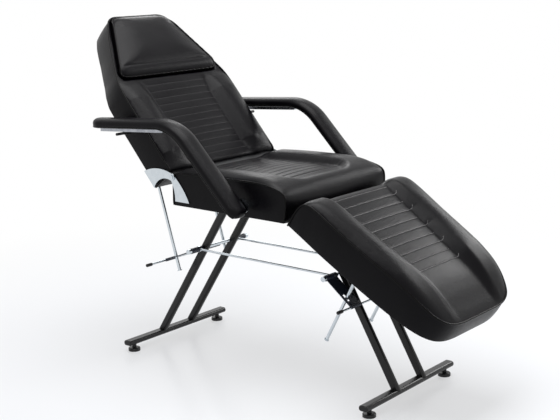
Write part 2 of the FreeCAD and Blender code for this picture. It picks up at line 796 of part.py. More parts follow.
def arm_support():
    below = support_thickness / 2
    entry = (support_entry_y, arm_underside(support_entry_y) - below)
    rear = (support_rear_y, arm_underside(support_rear_y) - below)
    slant_length = math.hypot(arm_elbow_y - arm_pivot_y, arm_elbow_z - arm_pivot_z)
    neck = arm_slant_place(slant_length - support_neck)
    shoulder_y = arm_elbow_y + support_shoulder
    shoulder = (shoulder_y, arm_middle(shoulder_y) - support_sink)
    centre = [(arm_pivot_y, arm_pivot_z), neck, shoulder, entry, rear]
    points = strip_points(centre, support_thickness)
    x0 = (arm_inner + arm_outer - support_width) / 2
    bar = across(side_wire(points, [0] * len(points)), x0, x0 + support_width)
    eye = cross_pin(x0, x0 + support_width, arm_pivot_y, arm_pivot_z, 2 * arm_bolt_radius)
    bore = cross_pin(0, 2 * arm_outer, arm_pivot_y, arm_pivot_z, arm_bolt_radius + pin_clearance)
    return bar.fuse(eye).cut(bore)


def arm_pad():
    points = strip_points(arm_lines(), arm_thickness)
    radii = [arm_end_round, arm_elbow_round, arm_end_round, arm_end_round, arm_inner_round, arm_end_round]
    pad = across(side_wire(points, radii), arm_inner, arm_outer)
    rims = [edge for edge in pad.Edges if abs(edge.BoundBox.XLength) < tiny_length]
    pad = pad.makeFillet(arm_edge_round, rims)
    head_room = arm_bolt_radius + arm_bolt_head + soft_gap
    support_face = (arm_inner + arm_outer + support_width) / 2
    bore = cross_pin(0, support_face, arm_pivot_y, arm_pivot_z, arm_bolt_radius + soft_gap)
    pocket = cross_pin(support_face, support_face + arm_bolt_head + soft_gap, arm_pivot_y, arm_pivot_z,
                       head_room)
    return pad.cut(arm_support()).cut(bore).cut(pocket)


def arm_bolt():
    x0 = cushion_half - side_frame_inset - side_frame_thickness
    x1 = (arm_inner + arm_outer + support_width) / 2
    shank = cross_pin(x0, x1, arm_pivot_y, arm_pivot_z, arm_bolt_radius)
    head = cross_pin(x1, x1 + arm_bolt_head, arm_pivot_y, arm_pivot_z, arm_bolt_radius + arm_bolt_head)
    return shank.fuse(head)


def arm_bush():
    sleeve = cross_pin(cushion_half + soft_gap, arm_inner - soft_gap, arm_pivot_y, arm_pivot_z,
                       arm_sleeve_radius)
    flange = cross_pin(arm_inner - soft_gap - arm_bush_thickness, arm_inner - soft_gap, arm_pivot_y,
                       arm_pivot_z, arm_bush_radius)
    bore = cross_pin(0, 2 * arm_outer, arm_pivot_y, arm_pivot_z, arm_bolt_radius + pin_clearance)
    return sleeve.fuse(flange).cut(bore)


# Peg on the backrest's edge that runs under the arm's steel rail
def guide_peg():
    z = arm_underside(guide_peg_y) - support_thickness - guide_peg_gap - guide_peg_radius
    x1 = (arm_inner + arm_outer + support_width) / 2
    return cross_pin(cushion_half - guide_peg_depth, x1, guide_peg_y, z, guide_peg_radius)


def side_frame():
    x1 = cushion_half - side_frame_inset
    solid = box(x1 - side_frame_thickness, x1, -side_frame_front, side_frame_rear, cushion_base_z,
                cushion_base_z + side_frame_height)
    hole = cross_pin(0, arm_outer, arm_pivot_y, arm_pivot_z, arm_bolt_radius + pin_clearance)
    return solid.cut(hole)


# Place of a point given along and below a padded section once that section is tilted
def tilted_point(hinge, angle, y, z):
    turn = math.radians(angle)
    return (hinge[0] + y * math.cos(turn) - z * math.sin(turn),
            hinge[1] + y * math.sin(turn) + z * math.cos(turn))


def tilted(shape, hinge_y, hinge_z, angle):
    copy = shape.copy()
    copy.rotate(FreeCAD.Vector(0, 0, 0), FreeCAD.Vector(1, 0, 0), angle)
    copy.translate(FreeCAD.Vector(0, hinge_y, hinge_z))
    return copy


def on_back(shape):
    return tilted(shape, back_hinge_y, back_hinge_z, back_angle)


def on_legrest(shape):
    return tilted(shape, leg_hinge_y, leg_hinge_z, leg_angle)


def stand_pieces(pieces):
    for name, side in (("rear", 1), ("front", -1)):
        y = side * foot_bar_reach
        pieces[name + "_foot_bar"] = tube_bar(foot_bar_length, y)
        pieces["glide_" + name + "_left"] = glide(glide_spacing / 2, y)
        pieces["glide_" + name + "_right"] = glide(-glide_spacing / 2, y)
    plugs = [end_plug(side * foot_bar_reach) for side in (-1, 1)]
    pieces["foot_bar_end_plugs"] = Part.makeCompound(plugs + [mirrored(plug) for plug in plugs])
    for name, side in (("left", 1), ("right", -1)):
        pieces["rear_leg_" + name] = leg(rear_leg_foot, rear_leg_head, side, foot_bar_reach, rear_shaft_y)
        pieces["front_leg_" + name] = leg(-front_leg_foot, -front_leg_head, side, -foot_bar_reach,
                                          front_shaft_y)


def seat_pieces(pieces):
    half = rail_width / 2
    for name, side in (("left", 1), ("right", -1)):
        x = side * leg_offset
        pieces["seat_rail_" + name] = square_tube(x - half, x + half, -rail_front, rail_rear, False)
    solid_rails = box(leg_offset - half, leg_offset + half, -rail_front, rail_rear,
                      rail_top - rail_height, rail_top)
    for name, y in (("front", -cross_front), ("rear", cross_rear)):
        member = square_tube(-cross_reach, cross_reach, y - half, y + half, True)
        pieces["seat_cross_" + name] = member.cut(solid_rails).cut(mirrored(solid_rails))
    leaf = seat_leaf()
    board = box(-seat_board_half, seat_board_half, -seat_board_front, seat_board_rear,
                rail_top, cushion_base_z)
    pieces["legrest_hinge_seat_leaf"] = leaf
    pieces["legrest_hinge_pin"] = cross_pin(-leaf_half, leaf_half, leg_hinge_y, leg_hinge_z,
                                            knuckle_pin_radius)
    pieces["seat_board"] = board.cut(leaf)
    frame = side_frame()
    bolt = arm_bolt()
    room = cross_pin(0, arm_outer, arm_pivot_y, arm_pivot_z, arm_bolt_radius + soft_gap)
    cushion = seat_cushion()
    cushion = cushion.cut(frame).cut(mirrored(frame)).cut(room).cut(mirrored(room))
    pieces["seat_cushion"] = cushion
    pieces["seat_side_frame_left"] = frame
    pieces["seat_side_frame_right"] = mirrored(frame)
    pieces["arm_pivot_bolts"] = Part.makeCompound([bolt, mirrored(bolt)])
    bush = arm_bush()
    pieces["arm_pivot_bushes"] = Part.makeCompound([bush, mirrored(bush)])
    plate = seat_plate()
    pieces["seat_hinge_plate_left"] = plate
    pieces["seat_hinge_plate_right"] = mirrored(plate)
    pin = hinge_pin()
    pieces["back_hinge_pins"] = Part.makeCompound([pin, mirrored(pin)])


def back_pieces(pieces):
    board = back_board()
    peg = guide_peg()
    cushion = on_back(back_cushion().cut(board))
    for side in (-1, 1):
        centre = peg.BoundBox.Center
        x0, x1 = sorted((side * (cushion_half - guide_peg_depth - soft_gap),
                         side * (cushion_half + overrun)))
        cushion = cushion.cut(cross_pin(x0, x1, centre.y, centre.z, guide_peg_radius + soft_gap))
    pieces["backrest_board"] = on_back(board)
    pieces["backrest_cushion"] = cushion
    pieces["headrest_pillow"] = on_back(pillow())
    face = back_rim - back_thickness
    for name, side in (("left", 1), ("right", -1)):
        bar = strap(side, back_strap_start, back_strap_start + back_strap_length, face, -1,
                    rear_prop_reach, -rear_prop_drop)
        pieces["backrest_strap_" + name] = on_back(bar)
    plate = back_plate()
    pieces["back_hinge_plate_left"] = plate
    pieces["back_hinge_plate_right"] = mirrored(plate)
    pieces["arm_guide_pegs"] = Part.makeCompound([peg, mirrored(peg)])
    pivot = tilted_point((back_hinge_y, back_hinge_z), back_angle, rear_prop_reach, -rear_prop_drop)
    for name, side in (("left", 1), ("right", -1)):
        pieces["rear_prop_rod_" + name] = prop_rod(side, pivot, (rear_prop_low_y, rear_prop_low_z))
    return pivot


def legrest_pieces(pieces):
    board = legrest_board()
    leaf = legrest_leaf()
    pieces["legrest_board"] = on_legrest(board)
    pieces["legrest_cushion"] = on_legrest(legrest_cushion().cut(board))
    pieces["legrest_hinge_pad_leaf"] = on_legrest(leaf)
    for name, side in (("left", 1), ("right", -1)):
        bar = strap(side, -legrest_strap_start - legrest_strap_length, -legrest_strap_start, 0, -1,
                    -front_prop_reach, -front_prop_drop)
        pieces["legrest_strap_" + name] = on_legrest(bar)
    pivot = tilted_point((leg_hinge_y, leg_hinge_z), leg_angle, -front_prop_reach, -front_prop_drop)
    for name, side in (("left", 1), ("right", -1)):
        pieces["front_prop_rod_" + name] = prop_rod(side, pivot, (front_prop_low_y, front_prop_low_z))
    return pivot


def release_pieces(pieces):
    handles = (
        ("rear", rear_shaft_y, -rear_release_fall, rear_release_length, rear_slot_centre,
         rear_slot_length, rear_bar_near, rear_bar_far),
        ("front", front_shaft_y, 180 + front_release_fall, front_release_length, front_slot_centre,
         front_slot_length, front_bar_near, front_bar_far),
    )
    for name, y, angle, length, slot_centre, slot_length, near, far in handles:
        plate = release_plate(length, slot_centre, slot_length)
        group = {
            name + "_release_plate_left": plate,
            name + "_release_plate_right": mirrored(plate),
            name + "_release_bar": release_bar(near, far, length),
            name + "_release_cap": release_cap(near, length),
        }
        for node, shape in group.items():
            pieces[node] = tilted(shape, y, shaft_z, angle)
        pieces[name + "_cross_shaft"] = cross_shaft(y)
    sleeves = [shaft_sleeve(side, y) for side in (-1, 1) for y in (rear_shaft_y, front_shaft_y)]
    pieces["cross_shaft_sleeves"] = Part.makeCompound(sleeves)
    pieces["tie_rod_left"] = tie_rod(1)
    pieces["tie_rod_right"] = tie_rod(-1)


def arm_pieces(pieces):
    pad = arm_pad()
    support = arm_support()
    pieces["arm_pad_left"] = pad
    pieces["arm_pad_right"] = mirrored(pad)
    pieces["arm_support_left"] = support
    pieces["arm_support_right"] = mirrored(support)


def main():
    pieces = {}
    stand_pieces(pieces)
    seat_pieces(pieces)
    rear_pivot = back_pieces(pieces)
    front_pivot = legrest_pieces(pieces)
    release_pieces(pieces)
    arm_pieces(pieces)
    bounds = FreeCAD.BoundBox()
    for shape in pieces.values():
        bounds.add(shape.BoundBox)
    shift = -(bounds.YMin + bounds.YMax) / 2
    os.makedirs("parts", exist_ok=True)
    for name, shape in pieces.items():
        shape.translate(FreeCAD.Vector(0, shift, 0))
        shape.exportStep("parts/" + name + ".step")
    print("nodes", len(pieces))
    print("shift along Y", round(shift, 3))
    print("rear prop pivot", [round(value, 3) for value in rear_pivot])
    print("front prop pivot", [round(value, 3) for value in front_pivot])
    print("size", round(bounds.XLength, 1), round(bounds.YLength, 1), round(bounds.ZLength, 1))
    for name, shape in pieces.items():
        if not shape.isValid() or shape.Volume <= 0:
            print("check", name, shape.isValid(), shape.Volume)


main()
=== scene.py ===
import bpy
import bmesh
import json
import math
import numpy as np
from mathutils import Matrix, Vector
from mathutils.bvhtree import BVHTree


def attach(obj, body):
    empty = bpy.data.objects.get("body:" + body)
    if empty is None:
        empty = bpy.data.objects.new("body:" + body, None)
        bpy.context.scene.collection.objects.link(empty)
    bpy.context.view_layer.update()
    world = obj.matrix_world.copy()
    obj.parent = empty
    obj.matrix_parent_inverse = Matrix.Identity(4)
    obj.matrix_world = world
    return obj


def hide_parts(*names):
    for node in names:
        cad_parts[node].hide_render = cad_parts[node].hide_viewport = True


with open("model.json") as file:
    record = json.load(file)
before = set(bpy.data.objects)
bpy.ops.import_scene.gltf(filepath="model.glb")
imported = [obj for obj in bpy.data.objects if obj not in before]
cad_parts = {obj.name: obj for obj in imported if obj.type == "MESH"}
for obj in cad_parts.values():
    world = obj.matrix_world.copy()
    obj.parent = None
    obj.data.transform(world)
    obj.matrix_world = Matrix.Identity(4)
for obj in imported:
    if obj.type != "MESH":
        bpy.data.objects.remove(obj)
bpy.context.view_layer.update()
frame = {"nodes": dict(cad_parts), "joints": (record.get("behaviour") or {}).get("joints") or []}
print("frame loaded,", len(frame["nodes"]), "nodes")

backTilt = 49.2  # rest angles of the two tilting sections, degrees
legTilt = 32.5


def jointPlace(name):
    # a joint's pivot in the frame, in millimetres
    return [1000 * value for value in next(j for j in frame["joints"] if j["name"] == name)["pos_m"]]


# Each padded section is shaped flat in millimetres: across, along from its hinge, and up from its board.
# A section's frame turns those into metres: y = hinge + along cos a - up sin a, z = hinge + along sin a + up cos a.
def placed(points, section):
    points = np.asarray(points, float)
    angle = math.radians(section["tilt"])
    along = points[..., 1] * section["direction"]
    y = section["hinge"][0] + along * math.cos(angle) - points[..., 2] * math.sin(angle)
    z = section["hinge"][1] + along * math.sin(angle) + points[..., 2] * math.cos(angle)
    return np.stack([points[..., 0], y, z], -1) / 1000


backHinge = jointPlace("backrest_tilt")
legHinge = jointPlace("legrest_tilt")
seatShift = backHinge[1] - 257
backFrame = {"hinge": backHinge[1:], "tilt": backTilt, "direction": 1}
legFrame = {"hinge": legHinge[1:], "tilt": legTilt, "direction": -1}
seatFrame = {"hinge": [255.5 + seatShift, 0], "tilt": 0, "direction": -1}
sideFrame = {"hinge": [seatShift, 0], "tilt": 0, "direction": 1}


# Curves and surfaces
def smoothStep(low, high, value):
    # 0 before low, 1 past high, and 3 s^2 - 2 s^3 between them
    share = np.clip((value - low) / (high - low), 0, 1)
    return share * share * (3 - 2 * share)


def splineThrough(points, perSpan=24):
    # Catmull-Rom with knots spaced by the square root of each span, so that short and long spans both stay smooth
    points = np.asarray(points, float)
    ends = np.vstack([2 * points[0] - points[1], points, 2 * points[-1] - points[-2]])
    curve = []
    for i in range(len(points) - 1):
        p0, p1, p2, p3 = ends[i:i + 4]
        t0 = 0.0
        t1 = t0 + np.linalg.norm(p1 - p0) ** 0.5
        t2 = t1 + np.linalg.norm(p2 - p1) ** 0.5
        t3 = t2 + np.linalg.norm(p3 - p2) ** 0.5
        t = np.linspace(t1, t2, perSpan, endpoint=False)[:, None]
        a1 = (t1 - t) / (t1 - t0) * p0 + (t - t0) / (t1 - t0) * p1
        a2 = (t2 - t) / (t2 - t1) * p1 + (t - t1) / (t2 - t1) * p2
        a3 = (t3 - t) / (t3 - t2) * p2 + (t - t2) / (t3 - t2) * p3
        b1 = (t2 - t) / (t2 - t0) * a1 + (t - t0) / (t2 - t0) * a2
        b2 = (t3 - t) / (t3 - t1) * a2 + (t - t1) / (t3 - t1) * a3
        curve.append((t2 - t) / (t2 - t1) * b1 + (t - t1) / (t2 - t1) * b2)
    return np.vstack(curve + [points[-1:]])


def runLengths(curve):
    # length of the curve up to each of its points
    return np.concatenate([[0], np.cumsum(np.linalg.norm(np.diff(curve, axis=0), axis=1))])


def atLengths(curve, lengths):
    # points of the curve at the given lengths from its start
    run = runLengths(curve)
    return np.stack([np.interp(lengths, run, curve[:, k]) for k in range(curve.shape[1])], -1)


def evenly(curve, count):
    return atLengths(curve, np.linspace(0, runLengths(curve)[-1], count))


def meshObject(name, points, faces, smooth=True):
    mesh = bpy.data.meshes.new(name)
    mesh.from_pydata(np.asarray(points).reshape(-1, 3).tolist(), [], [list(map(int, f)) for f in faces])
    mesh.polygons.foreach_set("use_smooth", [smooth] * len(mesh.polygons))
    mesh.update()
    piece = bpy.data.objects.new(name, mesh)
    bpy.context.scene.collection.objects.link(piece)
    return piece


def gridFaces(index):
    # quads of a grid of vertex numbers, row by row
    a, b = index[:-1, :-1], index[:-1, 1:]
    c, d = index[1:, 1:], index[1:, :-1]
    return np.stack([a, b, c, d], -1).reshape(-1, 4)


# A tube along a path: ring k is centre k + radius (cos t side + sin t up), where up stays near a given direction.
def tubeSurface(path, radius, towards, sides=12, closed=False):
    path = np.asarray(path, float)
    if closed:
        tangent = np.roll(path, -1, 0) - np.roll(path, 1, 0)
    else:
        tangent = np.gradient(path, axis=0)
    tangent /= np.linalg.norm(tangent, axis=1)[:, None]
    towards = np.broadcast_to(np.asarray(towards, float), path.shape)
    up = towards - (towards * tangent).sum(1)[:, None] * tangent
    up /= np.linalg.norm(up, axis=1)[:, None]
    side = np.cross(up, tangent)
    turn = np.arange(sides) * 2 * np.pi / sides
    radius = np.broadcast_to(np.asarray(radius, float), (len(path),))
    rings = path[:, None] + radius[:, None, None] * (
        np.cos(turn)[None, :, None] * side[:, None] + np.sin(turn)[None, :, None] * up[:, None])
    count = len(path)
    index = np.arange(count * sides).reshape(count, sides)
    index = np.hstack([index, index[:, :1]])
    if closed:
        index = np.vstack([index, index[:1]])
    faces = gridFaces(index).tolist()
    points = rings.reshape(-1, 3)
    if not closed:
        points = np.vstack([points, path[:1], path[-1:]])
        for k in range(sides):
            faces.append([index[0, k + 1], index[0, k], count * sides])
            faces.append([index[-1, k], index[-1, k + 1], count * sides + 1])
    return points, faces


def gridPlaces(length, lines=(), spacing=9, ends=(2.5, 6, 10, 15, 21, 28)):
    # places from 0 to length: close together beside sewn lines and at both ends, and evenly filled between
    besideLine, clearOfLine, closest = (-6, -2.2, 0, 2.2, 6), 9, 1.2
    wanted = [0, length] + list(ends) + [length - e for e in ends]
    wanted = [w for w in wanted if all(abs(w - line) > clearOfLine for line in lines)]
    wanted += [line + offset for line in lines for offset in besideLine]
    wanted = sorted(w for w in wanted if 0 <= w <= length)
    kept = [wanted[0]]
    for w in wanted[1:]:
        if w - kept[-1] > closest:
            kept.append(w)
    kept[-1] = length
    places = []
    for low, high in zip(kept, kept[1:]):
        count = max(1, math.ceil((high - low) / spacing))
        places += [low + (high - low) * k / count for k in range(count)]
    return np.array(places + [length])


def welded(points, faces, *extras):
    # points at the same place become one, and faces lose their repeated corners
    _, first, renamed = np.unique(np.round(points, 4), axis=0, return_index=True, return_inverse=True)
    renamed = renamed.reshape(-1)
    kept = []
    for face in renamed[np.asarray(faces)]:
        corners = [corner for k, corner in enumerate(face) if corner != face[k - 1]]
        if len(set(corners)) == len(corners) > 2:
            kept.append(corners)
    return [points[first], kept] + [extra[first] for extra in extras]


def joined(blocks):
    # grids of points, each with its hold and whether its faces are turned over, welded into one surface
    points, faces, hold = [], [], []
    for block, weights, turned in blocks:
        index = np.arange(block.shape[0] * block.shape[1]).reshape(block.shape[:2]) + sum(map(len, points))
        quads = gridFaces(index)
        points.append(block.reshape(-1, 3))
        faces.append(quads[:, ::-1] if turned else quads)
        hold.append(np.broadcast_to(weights, block.shape[:2]).reshape(-1))
    points, faces, hold = welded(np.vstack(points), np.vstack(faces), np.concatenate(hold))
    return {"points": points, "faces": faces, "hold": hold}


def distanceTo(points, line):
    # distance from each point to the nearest point of a dense line
    flat = points.reshape(-1, points.shape[-1])
    found = np.full(len(flat), 1e9)
    for block in range(0, len(line), 64):
        gap = flat[:, None] - line[None, block:block + 64]
        found = np.minimum(found, np.sqrt((gap ** 2).sum(-1)).min(1))
    return found.reshape(points.shape[:-1])


def tableAt(table, value):
    # straight lines between pairs of place and value
    places, values = zip(*table)
    return np.interp(value, places, values)


# The closed cover of a padded section. Its top is a grid of rows across the profile, p, and columns, t from -1 to 1:
# across = t half(p), along and up = profile(p) + normal(p) height. Towards a rounded end the rows bend to the outline.
def cushionCover(spec):
    profile = splineThrough(spec["profile"])
    run = runLengths(profile)
    onTop = (profile[:, 0] > spec["topFrom"]) & (profile[:, 0] < spec["topTo"])
    lines = np.interp(spec["lines"], profile[onTop, 0], run[onTop])
    rounded = "outline" in spec
    if rounded:
        outline = splineThrough(spec["outline"])  # right half: side, corner and end, as (across, along)
        corner = np.argmin(np.hypot(outline[:, 0] - spec["corner"][0], outline[:, 1] - spec["corner"][1]))
        side, end = outline[:corner + 1], outline[corner:]
        length = np.interp(side[-1, 1], profile[onTop, 0], run[onTop])
    else:
        length = run[-1]
    rows = gridPlaces(length, lines)
    columns = gridPlaces(2 * spec["half"]) / spec["half"] - 1
    centre = atLengths(profile, rows)
    slope = atLengths(profile, np.minimum(rows + 1, run[-1])) - atLengths(profile, np.maximum(rows - 1, 0))
    slope /= np.linalg.norm(slope, axis=1)[:, None]
    normal = np.stack([-slope[:, 1], slope[:, 0]], -1)
    t = columns[None, :]
    if rounded:
        half = np.where(rows > run[onTop][0], np.interp(centre[:, 0], side[:, 1], side[:, 0]), side[0, 0])
        both = np.vstack([end[::-1] * [-1, 1], end[1:]])
        both = both[np.argsort(both[:, 0])]
        across = evenly(both, 400)
        share = runLengths(across) / runLengths(across)[-1] * 2 - 1
        endX, endU = np.interp(t[0], share, across[:, 0]), np.interp(t[0], share, across[:, 1])
        bend = smoothStep(spec["bendFrom"], centre[-1, 0], centre[:, 0])[:, None] ** 1.5
    else:
        half = np.full(len(rows), float(spec["half"]))
        bend = np.zeros((len(rows), 1))
        endX, endU = t[0] * half[-1], np.full(len(columns), centre[-1, 0])
    x = t * half[:, None] + bend * (endX - t * half[-1])
    u = centre[:, :1] + bend * (endU - centre[-1, 0])
    w = np.where(bend > 0, np.interp(u, profile[onTop, 0], profile[onTop, 1]), centre[:, 1:])
    flat = np.stack([x, u, w], -1)

    # the seam all round the top, in order: left side, rounded end, right side
    ring = [flat[:, 0], flat[-1, 1:-1], flat[::-1, -1]] if rounded else [flat[:, 0], flat[::-1, -1]]
    seams = [np.vstack(ring)] if rounded else ring
    dense = np.vstack([evenly(seam, 500) for seam in seams])
    fromSeam = distanceTo(flat, dense)
    height = spec["height"](x, u, fromSeam) - spec["grooveDepth"] * grooveShare(spec, x, u)
    top = flat.copy()
    top[..., 1] += normal[:, :1] * height
    top[..., 2] += normal[:, 1:] * height

    # the base outline below the seam, fanned out where the cover rolls over an end
    roll = spec["fan"]
    fanned = np.interp(roll, rows, centre[:, 0])
    baseU = np.where(rows < roll, profile[0, 0] + (fanned - profile[0, 0]) * rows / roll, centre[:, 0])
    if not rounded:
        fannedEnd = np.interp(length - roll, rows, centre[:, 0])
        fromEnd = length - rows
        baseU = np.where(fromEnd < roll, profile[-1, 0] - (profile[-1, 0] - fannedEnd) * fromEnd / roll, baseU)
    baseHalf = np.interp(baseU, side[:, 1], side[:, 0]) if rounded else half
    baseHalf = baseHalf * tableAt(spec["baseShares"], baseU) - spec["baseInset"]
    endShare = tableAt(spec["baseShares"], endU)
    baseX = t * baseHalf[:, None] + bend * (endX * endShare - t * baseHalf[-1])
    baseAlong = baseU[:, None] + bend * (endU - baseU[-1])
    level = tableAt(spec["baseLevel"], baseAlong)
    basePlan = np.stack([baseX, baseAlong], -1)
    inset = distanceTo(basePlan, np.vstack([basePlan[:, 0], basePlan[-1], basePlan[:, -1]]))
    bottom = np.stack([baseX, baseAlong, level + spec["baseStep"] * smoothStep(7, 10, inset)], -1)

    # side bands between the two outlines: point = seam (1 - v) + base v, with a slight outward swell 4 v (1 - v)
    levels = np.array([0, 0.025, 0.06, 0.11, 0.18, 0.27, 0.37, 0.48, 0.59, 0.7, 0.8, 0.88, 0.94, 0.98, 1])
    if rounded:
        pairs = [(np.vstack([top[:, 0], top[-1, 1:-1], top[::-1, -1]]),
                  np.vstack([bottom[:, 0], bottom[-1, 1:-1], bottom[::-1, -1]]))]
    else:
        pairs = [(top[:, 0], bottom[:, 0]), (top[::-1, -1], bottom[::-1, -1])]
    topHold = np.maximum(smoothStep(6, 1, fromSeam), spec["hold"](x, u))
    topHold = np.maximum(topHold, grooveShare(spec, x, u))
    if not rounded:
        topHold = np.maximum(topHold, smoothStep(12, 2, length - rows)[:, None])
    topHold = np.maximum(topHold, smoothStep(12, 2, rows)[:, None])
    blocks = [(top, topHold, False), (bottom, 1.0, True)]
    for seam, base in pairs:
        v = levels[None, :, None]
        band = seam[:, None] * (1 - v) + base[:, None] * v
        plan = np.gradient(seam[:, :2], axis=0)
        outward = np.stack([-plan[:, 1], plan[:, 0]], -1)
        outward[np.hypot(plan[:, 0], plan[:, 1]) < 0.5] = 0
        outward += 1e-6 * np.sign(seam[:, :1]) * [1, 0]  # where the seam turns sharply, straight to its side
        outward /= np.linalg.norm(outward, axis=1)[:, None]
        fromMiddle = outward[:, 0] * seam[:, 0] + outward[:, 1] * (seam[:, 1] - spec["middle"])
        outward *= np.where(fromMiddle < 0, -1, 1)[:, None]
        tall = np.linalg.norm(seam - base, axis=1)
        swell = spec["swell"] * np.clip(tall / 100, 0, 1)[:, None, None] * 4 * v * (1 - v)
        band[..., :2] += outward[:, None] * swell
        bandHold = np.maximum(smoothStep(0.05, 0.01, levels), smoothStep(0.94, 0.99, levels))[None, :]
        bandHold = np.maximum(bandHold, spec["sideHold"](seam)[:, None])
        blocks.append((band, bandHold, False))
    return joined(blocks) | {"seams": seams, "spec": spec}


def grooveShare(spec, x, u):
    # 1 on a sewn line, falling away to 0 within a few millimetres and at the line's ends
    share = np.zeros_like(u + x)
    for line, reach in zip(spec["lines"], spec["reaches"]):
        within = 1 - smoothStep(reach - 4, reach + 10, np.abs(x))
        share = np.maximum(share, np.exp(-((u - line) / spec["grooveWidth"]) ** 2) * within)
    return share


def cushionHeight(x, u, fromSeam, form):
    # raised rolls along the seams, a sunk panel with a slight crown between them, rounded off beside each seam
    panel = tableAt(form["panelHalf"], u)
    corner = form["panelRound"]
    beside, beyond = np.abs(x) - (panel - corner), u - (form["panelEnd"] - corner)
    outside = np.hypot(np.maximum(beside, 0), np.maximum(beyond, 0))
    outside = outside + np.minimum(np.maximum(beside, beyond), 0) - corner
    raised = smoothStep(0, form["slopeWidth"], outside)
    edge = np.sqrt(1 - (1 - np.clip(fromSeam / form["edgeWidth"], 0, 1)) ** 2)
    rolls = tableAt(form["fade"], u) * (form["rise"] * raised - form["sink"] * (1 - raised))
    crown = tableAt(form["crownFade"], u) * form["crown"] * (1 - np.clip(np.abs(x) / panel, 0, 1) ** 2) * (1 - raised)
    return edge * (rolls + crown)


def closedPiece(cover, name):
    # the cover's points placed in metres, with every face turned outwards
    piece = meshObject(name, placed(cover["points"], cover["spec"]["frame"]), cover["faces"])
    shell = bmesh.new()
    shell.from_mesh(piece.data)
    bmesh.ops.recalc_face_normals(shell, faces=shell.faces)
    shell.to_mesh(piece.data)
    shell.free()
    return piece


clothSettings = {"quality": 5, "mass": 0.4, "tension_stiffness": 12, "compression_stiffness": 12, "shear_stiffness": 6,
                 "bending_stiffness": 0.8, "vertex_group_mass": "held", "use_pressure": True}
clothFrames = 20
holdLevels = 20


# Air pressure swells the cover while its seams, sewn lines and base are held, as foam does under a tight skin.
def inflate(piece, cover, pressure, cap, keepInside):
    count = len(piece.data.vertices)
    rest = np.empty(count * 3)
    piece.data.vertices.foreach_get("co", rest)
    rest = rest.reshape(-1, 3)
    group = piece.vertex_groups.new(name="held")
    for level in range(1, holdLevels + 1):
        members = np.nonzero(np.ceil(cover["hold"] * holdLevels) == level)[0]
        group.add(members.tolist(), level / holdLevels, "REPLACE")
    cloth = piece.modifiers.new("swell", "CLOTH")
    for setting, value in clothSettings.items():
        setattr(cloth.settings, setting, value)
    cloth.settings.uniform_pressure_force = pressure
    cloth.settings.effector_weights.gravity = 0
    cloth.point_cache.frame_start, cloth.point_cache.frame_end = 1, clothFrames
    for step in range(1, clothFrames + 1):
        bpy.context.scene.frame_set(step)
    swollen = piece.evaluated_get(bpy.context.evaluated_depsgraph_get()).to_mesh()
    moved = np.empty(count * 3)
    swollen.vertices.foreach_get("co", moved)
    piece.modifiers.remove(cloth)
    piece.vertex_groups.remove(group)
    bpy.context.scene.frame_set(1)
    shift = moved.reshape(-1, 3) - rest
    reach = np.linalg.norm(shift, axis=1)
    print(piece.name, "swells by up to", round(1000 * float(reach.max()), 1), "mm")
    shift *= (np.minimum(reach, cap / 1000) / np.maximum(reach, 1e-9))[:, None]
    rest = rest + shift
    rest = keepInside(rest)
    piece.data.vertices.foreach_set("co", rest.reshape(-1))
    piece.data.update()


def finishSoft(piece, body, node):
    smooth = piece.modifiers.new("smooth", "SUBSURF")
    smooth.levels = smooth.render_levels = 1
    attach(piece, body)
    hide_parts(node)


# Seat cushion

seat = {
    "frame": seatFrame, "half": 287, "body": "frame", "middle": 250,
    "profile": [(2, 603.6), (0, 612), (0, 640), (0, 672), (0.6, 695), (5, 709), (16, 714.3), (60, 715), (127.5, 718),
                (261.5, 722), (398.5, 721), (452.5, 711), (475, 703.5), (489, 692), (493.5, 667), (492, 645),
                (489.5, 626), (486.5, 612), (483.5, 604)],
    "topFrom": 16, "topTo": 475, "fan": 240, "baseInset": -0.8,
    "lines": [34.5 + 35.05 * k for k in range(11)], "reaches": [150] * 11, "grooveDepth": 2.2, "grooveWidth": 2.6,
    "baseShares": [(0, 1), (493, 1)], "baseLevel": [(0, 603.6), (493, 603.6)], "baseStep": 6,
    "swell": 2.5,
}
seatForm = {
    "panelHalf": [(0, 160), (355, 160), (414, 165)], "panelRound": 60, "panelEnd": 412, "slopeWidth": 40,
    "edgeWidth": 38, "rise": 18, "sink": 6, "crown": 6,
    "fade": [(0, 0.03), (15, 0.35), (55, 1), (365, 1), (430, 0.75), (470, 0.35), (489, 0.1)],
    "crownFade": [(0, 0), (40, 1), (360, 1), (420, 0.2), (440, 0)],
}
seat["height"] = lambda x, u, d: cushionHeight(x, u, d, seatForm)
seat["hold"] = lambda x, u: 0.6 * smoothStep(165, 140, np.abs(x)) * smoothStep(440, 400, u)
seat["sideHold"] = lambda seam: 0.25 + 0.75 * smoothStep(120, 90, seam[:, 1])
seatCover = cushionCover(seat)
seatPiece = closedPiece(seatCover, "seatCover")
print("seat cover", len(seatCover["points"]), "points")

# Backrest cushion

